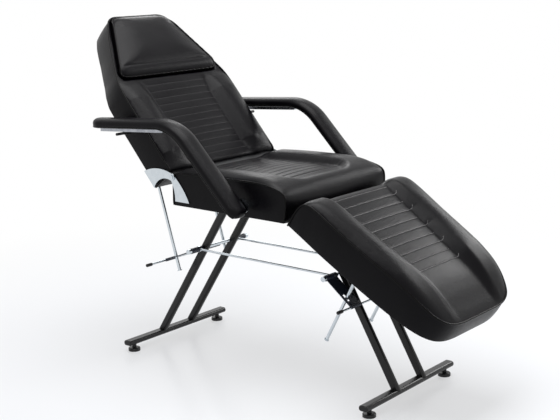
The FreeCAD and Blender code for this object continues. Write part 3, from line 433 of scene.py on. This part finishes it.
back = {
    "frame": backFrame, "half": 287, "body": "backrest", "middle": 300,
    "profile": [(20, -96), (20, -70), (20, -40), (20.3, -15), (24, -2), (33, 2.8), (60, 3), (200, 3), (400, 3),
                (560, 3), (690, 3)],
    "topFrom": 33, "topTo": 691, "fan": 200, "baseInset": 3,
    "outline": [(287, 20), (287, 190), (287, 360), (281, 403), (262, 451), (239, 508), (212, 568), (189, 613),
                (165, 654), (146, 677), (120, 688.5), (60, 690), (0, 690)],
    "corner": (158, 665), "bendFrom": 480,
    "lines": [62.1 + 28.86 * k for k in range(12)], "reaches": [152] * 12, "grooveDepth": 0.9, "grooveWidth": 2.2,
    "baseShares": [(0, 1), (365, 1), (395, 0.979), (446, 0.961), (543, 0.943), (623, 0.955), (663, 0.94),
                   (690, 0.86)],
    "baseLevel": [(0, -96), (690, -96)], "baseStep": 6, "swell": 2.5,
}
backForm = {
    "panelHalf": [(0, 158), (690, 158)], "panelRound": 10, "panelEnd": 900, "slopeWidth": 46,
    "edgeWidth": 44, "rise": 20, "sink": 7, "crown": 4,
    "fade": [(20, 0.02), (45, 0.3), (90, 1), (325, 1), (380, 0.5), (405, 0.1), (690, 0.1)],
    "crownFade": [(20, 0), (60, 1), (360, 1), (405, 0.1)],
}


def pillowReach(u):
    # half width of the shallow well that the pillow sits in
    return np.interp(u, [414, 416, 430, 441, 554, 668, 682, 687, 689, 690],
                     [0, 240, 250, 254, 201, 146, 123, 108, 60, 0])


def backHeight(x, u, fromSeam):
    well = smoothStep(2, -6, np.abs(x) - pillowReach(u)) * smoothStep(413, 420, u)
    return cushionHeight(x, u, fromSeam, backForm) * (1 - well) - 20 * well


back["height"] = backHeight
back["hold"] = lambda x, u: np.maximum(smoothStep(395, 415, u), 0.8 * smoothStep(165, 140, np.abs(x)))
back["sideHold"] = lambda seam: 0.25 + 0.75 * smoothStep(210, 170, seam[:, 1])
backCover = cushionCover(back)
backPiece = closedPiece(backCover, "backCover")
print("backrest cover", len(backCover["points"]), "points")

# Leg rest cushion

leg = {
    "frame": legFrame, "half": 287, "body": "legrest", "middle": 300,
    "profile": [(3, 0), (3, 25), (3.2, 56), (7.5, 83), (18, 100), (36, 109.5), (64, 113), (200, 112), (440, 112),
                (507, 101), (555, 88.5), (585, 80.6), (610, 72)],
    "topFrom": 37, "topTo": 611, "fan": 200, "baseInset": 3,
    "outline": [(287, 3), (287, 70), (287, 148), (284, 222), (279, 300), (272, 379), (263, 448), (248, 510), (226, 556),
                (197, 587), (160, 603), (110, 609.3), (50, 610), (0, 610)],
    "corner": (206, 580), "bendFrom": 425,
    "lines": [42.5 + 40.1 * k for k in range(10)], "grooveDepth": 1.2, "grooveWidth": 2.4,
    "reaches": [152, 154, 148, 150, 141, 141, 132, 130, 120, 118],
    "baseShares": [(0, 1), (610, 0.985)], "baseLevel": [(0, 0), (610, 0)], "baseStep": 6, "swell": 4,
}
legForm = {
    "panelHalf": [(0, 160), (250, 140), (410, 121), (610, 112)], "panelRound": 10, "panelEnd": 900, "slopeWidth": 42,
    "edgeWidth": 44, "rise": 20, "sink": 7, "crown": 2,
    "fade": [(3, 0.1), (20, 0.55), (60, 0.95), (100, 1), (400, 1), (490, 0.7), (560, 0.38), (612, 0.08)],
    "crownFade": [(3, 0), (60, 1), (380, 0.8), (500, 0.3), (610, 0)],
}
leg["height"] = lambda x, u, d: cushionHeight(x, u, d, legForm)
leg["hold"] = lambda x, u: 0.8 * smoothStep(1.05, 0.9, np.abs(x) / tableAt(legForm["panelHalf"], u))
leg["sideHold"] = lambda seam: np.full(len(seam), 0.2)
legCover = cushionCover(leg)
legPiece = closedPiece(legCover, "legCover")
print("leg rest cover", len(legCover["points"]), "points")


# Headrest pillow

# Rows p and columns t between four curved edges (bottom, top and two sides), lifted by a height over the seam's plane.
pillow = {
    "frame": backFrame, "body": "backrest",
    "outline": [(0, 422), (120, 422), (215, 423), (236, 426), (247, 433), (249.5, 444), (240, 466), (198, 554),
                (150, 652), (139, 669), (122, 681), (100, 686), (50, 687), (0, 687)],
    "corners": ((245, 430), (138, 671)), "seamLevel": 3.5, "sideBand": 14, "baseLevel": -15,
    "crease": 461, "creaseDepth": 4,
    "ridge": 22, "ridgeWidth": 26, "crown": 8, "lowSink": 5, "baseShare": 0.985,
}


def pillowCover(spec):
    outline = splineThrough(spec["outline"])
    cuts = [int(np.argmin(np.hypot(outline[:, 0] - c[0], outline[:, 1] - c[1]))) for c in spec["corners"]]
    low, side, high = outline[:cuts[0] + 1], outline[cuts[0]:cuts[1] + 1], outline[cuts[1]:]
    sideLength = runLengths(side)[-1]
    rows = gridPlaces(sideLength, [39], spacing=6.5, ends=(2.5, 6, 10, 15, 20))
    sides = atLengths(side, rows)
    lowEdge = np.vstack([low[::-1] * [-1, 1], low[1:]])
    highEdge = np.vstack([high * [-1, 1], high[::-1][1:]])
    span = gridPlaces(500, spacing=7, ends=(2.5, 6, 10, 15, 21, 28)) / 500
    lowEdge, highEdge = [atLengths(edge, span * runLengths(edge)[-1]) for edge in (lowEdge, highEdge)]
    t = 2 * span[None, :] - 1
    p = (rows / sideLength)[:, None]
    lowBend, highBend = (1 - p) ** 3, p ** 3
    x = t * sides[:, :1] + lowBend * (lowEdge[:, 0] - t * sides[0, 0]) + highBend * (highEdge[:, 0] - t * sides[-1, 0])
    u = sides[:, 1:] + lowBend * (lowEdge[:, 1] - sides[0, 1]) + highBend * (highEdge[:, 1] - sides[-1, 1])
    flat = np.stack([x, u], -1)
    ring = np.vstack([flat[:, 0], flat[-1, 1:-1], flat[::-1, -1], flat[0, -2:0:-1]])
    closed = np.vstack([ring, ring[:1]])
    fromSeam = distanceTo(flat, evenly(closed, 1400))
    rising = 1 - (1 - np.clip(fromSeam / spec["ridgeWidth"], 0, 1)) ** 2
    # the seam rides higher along the sides than at the top and bottom
    banded = spec["sideBand"] * smoothStep(428, 462, u) * smoothStep(688, 630, u)
    height = banded + (spec["ridge"] - banded) * rising ** 0.62
    height += spec["crown"] * smoothStep(10, 95, fromSeam)
    height -= spec["lowSink"] * smoothStep(spec["crease"] + 6, spec["crease"] - 30, u) * rising
    crease = np.exp(-((u - spec["crease"]) / 3.5) ** 2) * smoothStep(8, 26, fromSeam)
    height -= spec["creaseDepth"] * crease
    top = np.concatenate([flat, spec["seamLevel"] + height[..., None]], -1)
    seam = np.vstack([top[:, 0], top[-1, 1:-1], top[::-1, -1], top[0, -2:0:-1]])
    base = np.concatenate([flat * [spec["baseShare"], 1], np.full_like(height, spec["baseLevel"])[..., None]], -1)
    baseRing = np.vstack([base[:, 0], base[-1, 1:-1], base[::-1, -1], base[0, -2:0:-1]])
    levels = np.array([0, 0.05, 0.12, 0.2, 0.28, 0.36, 0.44, 0.52, 0.6, 0.8, 1])
    bandHold = np.maximum(smoothStep(0.06, 0.01, levels), smoothStep(0.44, 0.56, levels))[None, :]
    levels = levels[None, :, None]
    band = seam[:, None] * (1 - levels) + baseRing[:, None] * levels
    band = np.vstack([band, band[:1]])
    topHold = np.maximum(smoothStep(5, 1, fromSeam), 0.9 * crease)
    cover = joined([(top, topHold, False), (base, 1.0, False), (band, bandHold, False)])
    return cover | {"seams": [seam], "spec": spec}


pillowCoverShape = pillowCover(pillow)
pillowPiece = closedPiece(pillowCoverShape, "pillowCover")
print("pillow cover", len(pillowCoverShape["points"]), "points")


# Swelling the padded pieces
def insideOf(sideLimit):
    # keeps a swollen cover's side panels clear of the hinge plates and arms beside them
    def keep(points):
        kept = points.copy()
        kept[:, 0] = np.clip(points[:, 0], -sideLimit / 1000, sideLimit / 1000)
        return kept
    return keep


for cover, piece, pressure, cap, limit in (
        (seatCover, seatPiece, 4, 9, 289.6), (backCover, backPiece, 4, 9, 289.6), (legCover, legPiece, 4, 10, 294),
        (pillowCoverShape, pillowPiece, 4, 7, 262)):
    inflate(piece, cover, pressure, cap, insideOf(limit))

finishSoft(seatPiece, seat["body"], "seat_cushion")
finishSoft(backPiece, back["body"], "backrest_cushion")
finishSoft(legPiece, leg["body"], "legrest_cushion")
finishSoft(pillowPiece, pillow["body"], "headrest_pillow")


# Piping

piping = {"radius": 3.3, "outward": 0.9, "lift": 1.4}


def pipe(name, seam, section, body, centre, closed=False):
    path = evenly(np.vstack([seam, seam[:1]]) if closed else seam, 4 * (len(seam) // 4) + 120)
    path = path[:-1] if closed else path
    lifted = path + [0, 0, piping["lift"]]
    lifted[:, 0] += piping["outward"] * np.clip(path[:, 0] / 60, -1, 1)
    world = placed(lifted, section)
    middle = placed([[0, centre[0], centre[1]]], section)[0]
    points, faces = tubeSurface(world, piping["radius"] / 1000, world - middle, sides=10, closed=closed)
    piece = meshObject(name, points, faces)
    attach(piece, body)
    return piece


pipings = []
for name, cover, middle in (("seatPiping", seatCover, (250, 660)), ("backPiping", backCover, (300, -40)),
                            ("legPiping", legCover, (300, 50))):
    for k, seam in enumerate(cover["seams"]):
        pipings.append(pipe(name + str(k), seam, cover["spec"]["frame"], cover["spec"]["body"], middle))
pipings.append(pipe("pillowPiping", pillowCoverShape["seams"][0], backFrame, "backrest", (550, -60), closed=True))
print("piping done")


# Armrests

# Rounded section 2 a wide and 2 b deep carried along the arm's bent middle line, drawn in to a rounded end:
# across = a c(angle), up = b s(angle), with c and s the sides of a squared-off oval.
arm = {
    "middleLine": [(-112.9, 623.1), (164, 902), (549, 876.4)], "bend": 172.5, "halfWidth": 39, "halfDepth": 17.5,
    "squareness": 2.7, "centre": 363, "endRound": 17, "crown": 2.5, "rearRound": 46, "lowRound": 36, "tipShare": 0.26,
    "pipingAcross": 0.9, "pipingRadius": 2.6, "pipingEnd": 5,
}


def bentLine(corners, radius, step=6):
    # straight runs joined by an arc of the given radius, evenly divided
    a, b, c = [np.array(p, float) for p in corners]
    into, out = (b - a) / np.linalg.norm(b - a), (c - b) / np.linalg.norm(c - b)
    turn = math.acos(float(np.clip(into @ out, -1, 1)))
    reach = radius * math.tan(turn / 2)
    bisector = (out - into) / np.linalg.norm(out - into)
    middle = b + bisector * radius / math.cos(turn / 2)
    first = b - into * reach - middle
    side = np.sign(into[0] * out[1] - into[1] * out[0])
    angles = np.linspace(0, turn, 30)[:, None] * side
    arc = middle + np.hstack([first[0] * np.cos(angles) - first[1] * np.sin(angles),
                              first[0] * np.sin(angles) + first[1] * np.cos(angles)])
    line = np.vstack([a, arc, c])
    return evenly(line, int(runLengths(line)[-1] / step))


def armPad(name, side, body, node):
    line = bentLine(arm["middleLine"], arm["bend"])
    run = runLengths(line)
    ends = np.array([0, 0.4, 1.5, 3.5, 6.5, 10, 13.5])
    run = np.unique(np.concatenate([ends, run[(run > 17) & (run < run[-1] - 17)], run[-1] - ends]))
    line = atLengths(line, run)
    tangent = np.gradient(line, run, axis=0)
    tangent /= np.linalg.norm(tangent, axis=1)[:, None]
    normal = np.stack([-tangent[:, 1], tangent[:, 0]], -1)
    fromEnd = np.minimum(run, run[-1] - run)
    rounding = np.sqrt(np.clip(1 - (1 - np.clip(fromEnd / arm["endRound"], 0, 1)) ** 2, 0, 1))
    angle = np.linspace(0, 2 * np.pi, 56, endpoint=False)
    power = 2 / arm["squareness"]
    c = np.sign(np.cos(angle)) * np.abs(np.cos(angle)) ** power
    s = np.sign(np.sin(angle)) * np.abs(np.sin(angle)) ** power
    planRound = np.where(run > run[-1] / 2, arm["rearRound"], arm["lowRound"])
    widthShare = np.sqrt(1 - (1 - np.clip(fromEnd / planRound, 0, 1)) ** 2)
    widthShare = arm["tipShare"] + (1 - arm["tipShare"]) * widthShare
    across = arm["halfWidth"] * c[None] * widthShare[:, None]
    up = arm["halfDepth"] * s[None] * rounding[:, None]
    up += arm["crown"] * (np.maximum(s, 0) * (1 - c ** 2))[None] * rounding[:, None]
    y = line[:, :1] + normal[:, :1] * up
    z = line[:, 1:] + normal[:, 1:] * up
    rings = np.stack([side * (arm["centre"] + across), y, z], -1)
    count, sides = rings.shape[:2]
    index = np.arange(count * sides).reshape(count, sides)
    index = np.hstack([index, index[:, :1]])
    points, faces = welded(rings.reshape(-1, 3), gridFaces(index))
    piece = closedPiece({"points": points, "faces": faces, "spec": {"frame": sideFrame}}, name)
    finishSoft(piece, body, node)
    # piping along both lower edges, where the oval's side and underside meet
    below = (1 - arm["pipingAcross"] ** arm["squareness"]) ** (1 / arm["squareness"])
    lower = line + normal * -arm["halfDepth"] * below * rounding[:, None]
    for edge in (1, -1):
        across = side * (arm["centre"] + edge * arm["halfWidth"] * arm["pipingAcross"] * widthShare)
        path = np.column_stack([across, lower])[fromEnd > arm["pipingEnd"]]
        tube, quads = tubeSurface(placed(path, sideFrame), arm["pipingRadius"] / 1000, [side * edge, 0, 0], sides=8)
        trim = meshObject(name + ("Outer" if edge > 0 else "Inner") + "Piping", tube, quads)
        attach(trim, body)
        pipings.append(trim)
    return piece


armPieces = [armPad("armLeft", 1, "arm_left", "arm_pad_left"),
             armPad("armRight", -1, "arm_right", "arm_pad_right")]
print("armrests done")


# Stitching

stitch = {"length": 5.4, "pitch": 6.8, "radius": 0.62, "hook": 12}


def stitches(name, runs, section, body):
    # short thread ends: each is a six-sided rod, pinched where it dips through the leather
    radius = stitch["radius"] / 1000
    along = np.array([-0.5, -0.36, 0, 0.36, 0.5]) * stitch["length"] / 1000
    thick = np.array([0.35, 0.9, 1, 0.9, 0.35]) * radius
    sunk = np.array([-1.1, -0.1, 0.25, -0.1, -1.1]) * radius
    turn = np.arange(6) * np.pi / 3
    points, faces = [], []
    template = np.arange(30).reshape(5, 6)
    template = gridFaces(np.hstack([template, template[:, :1]]))
    for run in runs:
        world = placed(run, section)
        lengths = runLengths(world)
        middles = np.arange(stitch["pitch"] / 2000, lengths[-1], stitch["pitch"] / 1000)
        at = atLengths(world, middles)
        ahead = atLengths(world, middles + 0.001) - atLengths(world, np.maximum(middles - 0.001, 0))
        ahead /= np.linalg.norm(ahead, axis=1)[:, None]
        lift = placed([[0, 0, 1000]], section)[0] - placed([[0, 0, 0]], section)[0]
        up = lift - (ahead @ lift)[:, None] * ahead
        up /= np.linalg.norm(up, axis=1)[:, None]
        side = np.cross(ahead, up)
        rod = (at[:, None, None] + ahead[:, None, None] * along[None, :, None, None]
               + up[:, None, None] * sunk[None, :, None, None]
               + thick[None, :, None, None] * (np.cos(turn)[None, None, :, None] * side[:, None, None]
                                               + np.sin(turn)[None, None, :, None] * up[:, None, None]))
        for k in range(len(at)):
            faces.append(template + 30 * (k + sum(map(len, points)) // 30))
        points.append(rod.reshape(-1, 3))
    piece = meshObject(name, np.vstack(points), np.vstack(faces))
    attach(piece, body)
    return piece


def restingOn(piece, runs, section, clear):
    # lowers each point of the runs onto the finished cover
    bpy.context.view_layer.update()
    tree = BVHTree.FromObject(piece, bpy.context.evaluated_depsgraph_get())
    down = placed([[0, 0, -1000]], section)[0] - placed([[0, 0, 0]], section)[0]
    rested = []
    for run in runs:
        above = placed(np.asarray(run) + [0, 0, 60], section)
        kept = []
        for local, point in zip(run, above):
            hit = tree.ray_cast(Vector(point), Vector(down), 0.12)
            if hit[0] is not None:
                kept.append([local[0], local[1], local[2] + 60 - 1000 * hit[3] + clear])
        rested.append(np.array(kept))
    return rested


def straightRuns(spec, level):
    return [np.stack([np.linspace(-reach, reach, 60), np.full(60, line), np.full(60, float(level))], -1)
            for line, reach in zip(spec["lines"], spec["reaches"])]


legRuns = []
for k, run in enumerate(straightRuns(leg, 112)):
    if k % 2 == 1:  # every other line turns up towards the hinge in a short hook
        angle = np.linspace(0, math.radians(75), 10)[1:]
        bend = np.stack([np.sin(angle), np.cos(angle) - 1, np.zeros(len(angle))], -1)
        run = np.vstack([run, run[-1] + stitch["hook"] * bend])
    legRuns.append(run)
threads = [stitches("legStitches", restingOn(legPiece, legRuns, legFrame, 0.35), legFrame, "legrest"),
           stitches("seatStitches", restingOn(seatPiece, straightRuns(seat, 720), seatFrame, 0.1), seatFrame, "frame"),
           stitches("backStitches", restingOn(backPiece, straightRuns(back, 3), backFrame, 0.0), backFrame, "backrest")]
print("stitching done")


# Materials
def addNode(tree, kind, settings=None, links=None):
    node = tree.nodes.new(kind)
    for name, value in (settings or {}).items():
        if isinstance(name, int) or name in node.inputs:
            node.inputs[name].default_value = value
        else:
            setattr(node, name, value)
    for socket, source in (links or {}).items():
        tree.links.new(source, node.inputs[socket])
    return node


def newFinish(name, **settings):
    finish = bpy.data.materials.new(name)
    finish.use_nodes = True
    shader = finish.node_tree.nodes["Principled BSDF"]
    for socket, value in settings.items():
        shader.inputs[socket.replace("_", " ")].default_value = value
    return finish, finish.node_tree, shader


def colourRange(tree, factor, stops):
    ramp = addNode(tree, "ShaderNodeValToRGB", links={0: factor})
    while len(ramp.color_ramp.elements) < len(stops):
        ramp.color_ramp.elements.new(0.5)
    for element, (place, code) in zip(ramp.color_ramp.elements, stops):
        element.position, element.color = place, linearColour(code)
    return ramp.outputs["Color"]


def linearColour(hexCode):
    # sRGB to linear: c / 12.92 below 0.04045, else ((c + 0.055) / 1.055) to the power 2.4
    channels = [int(hexCode[i:i + 2], 16) / 255 for i in (1, 3, 5)]
    return [c / 12.92 if c <= 0.04045 else ((c + 0.055) / 1.055) ** 2.4 for c in channels] + [1.0]


def perMetre(millimetres):
    # a texture's scale for features of a real size
    return 1000 / millimetres


# Polyurethane-coated upholstery fabric, embossed with a leather grain: black, with a soft broad sheen.
def coatedLeather(name, dark, light, roughLow, roughHigh, grain, grainBump, shine):
    finish, tree, shader = newFinish(name, IOR=1.5, Specular_IOR_Level=shine)
    place = addNode(tree, "ShaderNodeTexCoord").outputs["Object"]
    cloud = addNode(tree, "ShaderNodeTexNoise", {"Scale": perMetre(90), "Detail": 4.0, "Roughness": 0.55},
                    {"Vector": place})
    tree.links.new(colourRange(tree, cloud.outputs["Fac"], [(0.35, dark), (0.68, light)]), shader.inputs["Base Color"])
    rough = addNode(tree, "ShaderNodeMapRange", {"To Min": roughLow, "To Max": roughHigh},
                    {"Value": cloud.outputs["Fac"]})
    pebble = addNode(tree, "ShaderNodeTexVoronoi", {"Scale": perMetre(grain), "feature": "DISTANCE_TO_EDGE"},
                     {"Vector": place})
    pebbleTop = addNode(tree, "ShaderNodeMapRange", {"From Max": 0.35}, {"Value": pebble.outputs["Distance"]})
    crease = addNode(tree, "ShaderNodeTexNoise", {"Scale": perMetre(28), "Detail": 3.0, "Distortion": 1.2},
                     {"Vector": place})
    soft = addNode(tree, "ShaderNodeBump", {"Strength": 0.12, "Distance": 0.003}, {"Height": crease.outputs["Fac"]})
    fine = addNode(tree, "ShaderNodeBump", {"Strength": grainBump, "Distance": 0.0006},
                   {"Height": pebbleTop.outputs["Result"], "Normal": soft.outputs["Normal"]})
    tree.links.new(rough.outputs["Result"], shader.inputs["Roughness"])
    tree.links.new(fine.outputs["Normal"], shader.inputs["Normal"])
    return finish


# Powder-coated steel: a baked satin paint with a fine orange-peel surface.
def powderCoat(name, dark, light, rough):
    finish, tree, shader = newFinish(name, IOR=1.5, Specular_IOR_Level=0.35)
    place = addNode(tree, "ShaderNodeTexCoord").outputs["Object"]
    peel = addNode(tree, "ShaderNodeTexNoise", {"Scale": perMetre(1.8), "Detail": 2.0}, {"Vector": place})
    drift = addNode(tree, "ShaderNodeTexNoise", {"Scale": perMetre(60), "Detail": 3.0}, {"Vector": place})
    tree.links.new(colourRange(tree, drift.outputs["Fac"], [(0.3, dark), (0.75, light)]), shader.inputs["Base Color"])
    spread = addNode(tree, "ShaderNodeMapRange", {"To Min": rough - 0.06, "To Max": rough + 0.08},
                     {"Value": drift.outputs["Fac"]})
    tree.links.new(spread.outputs["Result"], shader.inputs["Roughness"])
    bump = addNode(tree, "ShaderNodeBump", {"Strength": 0.12, "Distance": 0.0004}, {"Height": peel.outputs["Fac"]})
    tree.links.new(bump.outputs["Normal"], shader.inputs["Normal"])
    return finish


# Plated steel, from mirror chromium to dull zinc: a little dulled by handling and fine scratches.
def platedMetal(name, colour, worn, roughLow, roughHigh):
    finish, tree, shader = newFinish(name, Metallic=1.0)
    place = addNode(tree, "ShaderNodeTexCoord").outputs["Object"]
    haze = addNode(tree, "ShaderNodeTexNoise", {"Scale": perMetre(22), "Detail": 5.0, "Roughness": 0.6},
                   {"Vector": place})
    tree.links.new(colourRange(tree, haze.outputs["Fac"], [(0.3, worn), (0.6, colour)]), shader.inputs["Base Color"])
    limits = {"From Min": 0.3, "From Max": 0.75, "To Min": roughLow, "To Max": roughHigh}
    rough = addNode(tree, "ShaderNodeMapRange", limits, {"Value": haze.outputs["Fac"]})
    tree.links.new(rough.outputs["Result"], shader.inputs["Roughness"])
    scratch = addNode(tree, "ShaderNodeTexNoise", {"Scale": perMetre(4), "Detail": 2.0}, {"Vector": place})
    bump = addNode(tree, "ShaderNodeBump", {"Strength": 0.02, "Distance": 0.0002}, {"Height": scratch.outputs["Fac"]})
    tree.links.new(bump.outputs["Normal"], shader.inputs["Normal"])
    return finish


# Injection-moulded plastic: matt black with a spark-eroded mould texture.
def mouldedPlastic(name, dark, light, rough):
    finish, tree, shader = newFinish(name, IOR=1.49, Specular_IOR_Level=0.4)
    place = addNode(tree, "ShaderNodeTexCoord").outputs["Object"]
    spark = addNode(tree, "ShaderNodeTexNoise", {"Scale": perMetre(1.2), "Detail": 3.0}, {"Vector": place})
    tree.links.new(colourRange(tree, spark.outputs["Fac"], [(0.35, dark), (0.7, light)]), shader.inputs["Base Color"])
    spread = addNode(tree, "ShaderNodeMapRange", {"To Min": rough - 0.05, "To Max": rough + 0.1},
                     {"Value": spark.outputs["Fac"]})
    tree.links.new(spread.outputs["Result"], shader.inputs["Roughness"])
    bump = addNode(tree, "ShaderNodeBump", {"Strength": 0.2, "Distance": 0.0003}, {"Height": spark.outputs["Fac"]})
    tree.links.new(bump.outputs["Normal"], shader.inputs["Normal"])
    return finish


# Birch plywood: pale, matt, with long streaky grain across the board.
def plywood(name):
    finish, tree, shader = newFinish(name, IOR=1.45, Roughness=0.62)
    place = addNode(tree, "ShaderNodeTexCoord").outputs["Object"]
    stretched = addNode(tree, "ShaderNodeMapping", {"Scale": (0.06, 1, 1)}, {"Vector": place})
    fibre = addNode(tree, "ShaderNodeTexNoise", {"Scale": perMetre(5), "Detail": 6.0, "Distortion": 0.8},
                    {"Vector": stretched.outputs["Vector"]})
    tree.links.new(colourRange(tree, fibre.outputs["Fac"], [(0.3, "#a87f55"), (0.5, "#c6a177"), (0.7, "#d8b98f")]),
                   shader.inputs["Base Color"])
    bump = addNode(tree, "ShaderNodeBump", {"Strength": 0.25, "Distance": 0.0005}, {"Height": fibre.outputs["Fac"]})
    tree.links.new(bump.outputs["Normal"], shader.inputs["Normal"])
    return finish


# Spun black dust cloth, stapled over the underside of each board.
def wovenCloth(name, dark, light):
    finish, tree, shader = newFinish(name, IOR=1.45, Roughness=0.85, Specular_IOR_Level=0.2)
    place = addNode(tree, "ShaderNodeTexCoord").outputs["Object"]
    fibre = addNode(tree, "ShaderNodeTexNoise", {"Scale": perMetre(0.9), "Detail": 3.0}, {"Vector": place})
    tree.links.new(colourRange(tree, fibre.outputs["Fac"], [(0.35, dark), (0.65, light)]), shader.inputs["Base Color"])
    bump = addNode(tree, "ShaderNodeBump", {"Strength": 0.3, "Distance": 0.0003}, {"Height": fibre.outputs["Fac"]})
    tree.links.new(bump.outputs["Normal"], shader.inputs["Normal"])
    return finish


# Bonded polyester sewing thread with a slight twist: pale on the leg rest, dark on the seat and backrest.
def threadFinish(name, dark, light):
    finish, tree, shader = newFinish(name, IOR=1.5, Roughness=0.6)
    place = addNode(tree, "ShaderNodeTexCoord").outputs["Object"]
    twist = addNode(tree, "ShaderNodeTexNoise", {"Scale": perMetre(3), "Detail": 2.0}, {"Vector": place})
    tree.links.new(colourRange(tree, twist.outputs["Fac"], [(0.35, dark), (0.65, light)]), shader.inputs["Base Color"])
    return finish


leatherCover = coatedLeather("blackCoatedLeather", "#060508", "#0b0a0d", 0.26, 0.37, 1.9, 0.16, 0.1)
# The piping is the cover's own leather, painted darker than the cover as painted shade for the creases along the seams.
shadedPipingLeather = coatedLeather("blackPipingLeather", "#020202", "#050405", 0.2, 0.3, 1.5, 0.1, 0.1)
framePaint = powderCoat("satinBlackPowderCoat", "#060607", "#0c0c0e", 0.27)
# The release plates' blue-grey, lighter than the frame paint, is painted light: it stands for the overhead light that
# their up-facing web catches.
releasePlatePaintedLight = powderCoat("darkBluePowderCoat", "#272c38", "#303644", 0.4)
chrome = platedMetal("chromePlate", "#ccd3d8", "#c3cad0", 0.06, 0.1)
brightSteel = platedMetal("brushedSteelPlate", "#a9acb2", "#8d9097", 0.22, 0.34)
zinc = platedMetal("zincPlate", "#b9bcc0", "#8f9297", 0.25, 0.42)
blackPlastic = mouldedPlastic("blackMouldedPlastic", "#070708", "#0e0e10", 0.32)
frameWood = plywood("birchPlywood")
dustCloth = wovenCloth("blackDustCloth", "#0b0b0c", "#151516")
paleThread = threadFinish("greyBondedThread", "#8d8b8c", "#c4c2c2")
darkThread = threadFinish("darkBondedThread", "#2e2c2e", "#464446")


def dress(piece, finish):
    piece.data.materials.clear()
    piece.data.materials.append(finish)


for piece in [seatPiece, backPiece, legPiece, pillowPiece] + armPieces:
    dress(piece, leatherCover)
for piece in pipings:
    dress(piece, shadedPipingLeather)
for piece, finish in zip(threads, (paleThread, darkThread, darkThread)):
    dress(piece, finish)
finishes = (
    (chrome, ("hinge_plate", "back_hinge_pins", "prop_rod", "release_bar", "tie_rod", "cross_shaft", "arm_pivot")),
    (releasePlatePaintedLight, ("release_plate",)),
    (blackPlastic, ("cap", "plug", "glide", "guide_peg")),
    (brightSteel, ("arm_support",)),
    (zinc, ("leaf", "hinge_pin", "bolt")),
    (dustCloth, ("board",)),
    (frameWood, ("side_frame",)),
    (framePaint, ("",)),
)
for name, piece in frame["nodes"].items():
    finish = next(finish for finish, words in finishes if any(word in name for word in words))
    dress(piece, finish)
print("materials done")


# Floor, light and camera
def seenDirectly(tree):
    # 1 for camera, glossy and transmission rays, so that metal mirrors the same pale surroundings as the camera sees
    rays = addNode(tree, "ShaderNodeLightPath")
    seen = rays.outputs["Is Camera Ray"]
    for kind in ("Is Glossy Ray", "Is Transmission Ray"):
        larger = addNode(tree, "ShaderNodeMath", {"operation": "MAXIMUM"}, {0: seen, 1: rays.outputs[kind]})
        seen = larger.outputs["Value"]
    return seen


studio = {"floorHalf": 30, "floorColour": "#eceff5", "skyColour": "#ffffff", "skyStrength": 0.42, "paleShare": 0.5}

floor = meshObject("floor", [[x * studio["floorHalf"], y * studio["floorHalf"], 0] for x, y in
                             ((-1, -1), (1, -1), (1, 1), (-1, 1))], [[0, 1, 2, 3]], smooth=False)
floorFinish, tree, shader = newFinish("paleStudioFloor", Roughness=0.24, Specular_IOR_Level=0.3)
shader.inputs["Base Color"].default_value = linearColour(studio["floorColour"])
place = addNode(tree, "ShaderNodeTexCoord").outputs["Object"]
distance = addNode(tree, "ShaderNodeVectorMath", {"operation": "LENGTH"}, {0: place})
far = addNode(tree, "ShaderNodeMapRange", {"From Min": 0.9, "From Max": 2.6, "To Min": studio["paleShare"],
                                           "interpolation_type": "SMOOTHSTEP"}, {"Value": distance.outputs["Value"]})
white = addNode(tree, "ShaderNodeEmission", {"Color": (1, 1, 1, 1), "Strength": 1.0})
share = addNode(tree, "ShaderNodeMath", {"operation": "MULTIPLY"}, {0: far.outputs["Result"], 1: seenDirectly(tree)})
mixed = addNode(tree, "ShaderNodeMixShader",
                links={0: share.outputs["Value"], 1: shader.outputs["BSDF"], 2: white.outputs["Emission"]})
tree.links.new(mixed.outputs["Shader"], tree.nodes["Material Output"].inputs["Surface"])
dress(floor, floorFinish)

world = bpy.data.worlds.new("studioWorld")
bpy.context.scene.world = world
world.use_nodes = True
tree = world.node_tree
backdrop = tree.nodes["Background"]
backdrop.inputs["Color"].default_value = linearColour(studio["skyColour"])
strength = addNode(tree, "ShaderNodeMapRange", {"To Min": studio["skyStrength"], "To Max": 1.0},
                   {"Value": seenDirectly(tree)})
tree.links.new(strength.outputs["Result"], backdrop.inputs["Strength"])


def softBox(name, place, aim, size, power):
    lamp = bpy.data.lights.new(name, "AREA")
    lamp.shape, lamp.size, lamp.size_y, lamp.energy = "RECTANGLE", size[0], size[1], power
    holder = bpy.data.objects.new(name, lamp)
    bpy.context.scene.collection.objects.link(holder)
    direction = Vector(aim) - Vector(place)
    holder.location = place
    holder.rotation_euler = direction.to_track_quat("-Z", "Y").to_euler()


softBox("topLight", (-0.1, 0.0, 3.1), (0, 0, 0.6), (1.7, 2.8), 82)
softBox("backLight", (2.6, 2.4, 2.4), (0, 0, 0.6), (1.2, 1.2), 13)
softBox("footLight", (3.0, -0.7, 1.9), (0, -0.5, 0.5), (1.0, 1.0), 24)

photoView = {"place": (-3.15599, -2.49359 + seatShift / 1000, 1.45142), "yaw": 51.539, "pitch": 12.382, "roll": -0.464,
             "focalPixels": 1161.86, "width": 560}
yaw, pitch, roll = [math.radians(photoView[k]) for k in ("yaw", "pitch", "roll")]
ahead = np.array([math.sin(yaw) * math.cos(pitch), math.cos(yaw) * math.cos(pitch), -math.sin(pitch)])
right = np.array([math.cos(yaw), -math.sin(yaw), 0])
above = np.cross(right, ahead)
rolledRight = math.cos(roll) * right + math.sin(roll) * above
rolledUp = -math.sin(roll) * right + math.cos(roll) * above
lens = bpy.data.cameras.new("photoCamera")
lens.sensor_width = 36
lens.lens = 36 * photoView["focalPixels"] / photoView["width"]
camera = bpy.data.objects.new("photoCamera", lens)
bpy.context.scene.collection.objects.link(camera)
camera.matrix_world = Matrix([[rolledRight[k], rolledUp[k], -ahead[k], photoView["place"][k]] for k in range(3)]
                             + [[0, 0, 0, 1]])
bpy.context.scene.camera = camera
bpy.context.scene.view_settings.view_transform = "Standard"
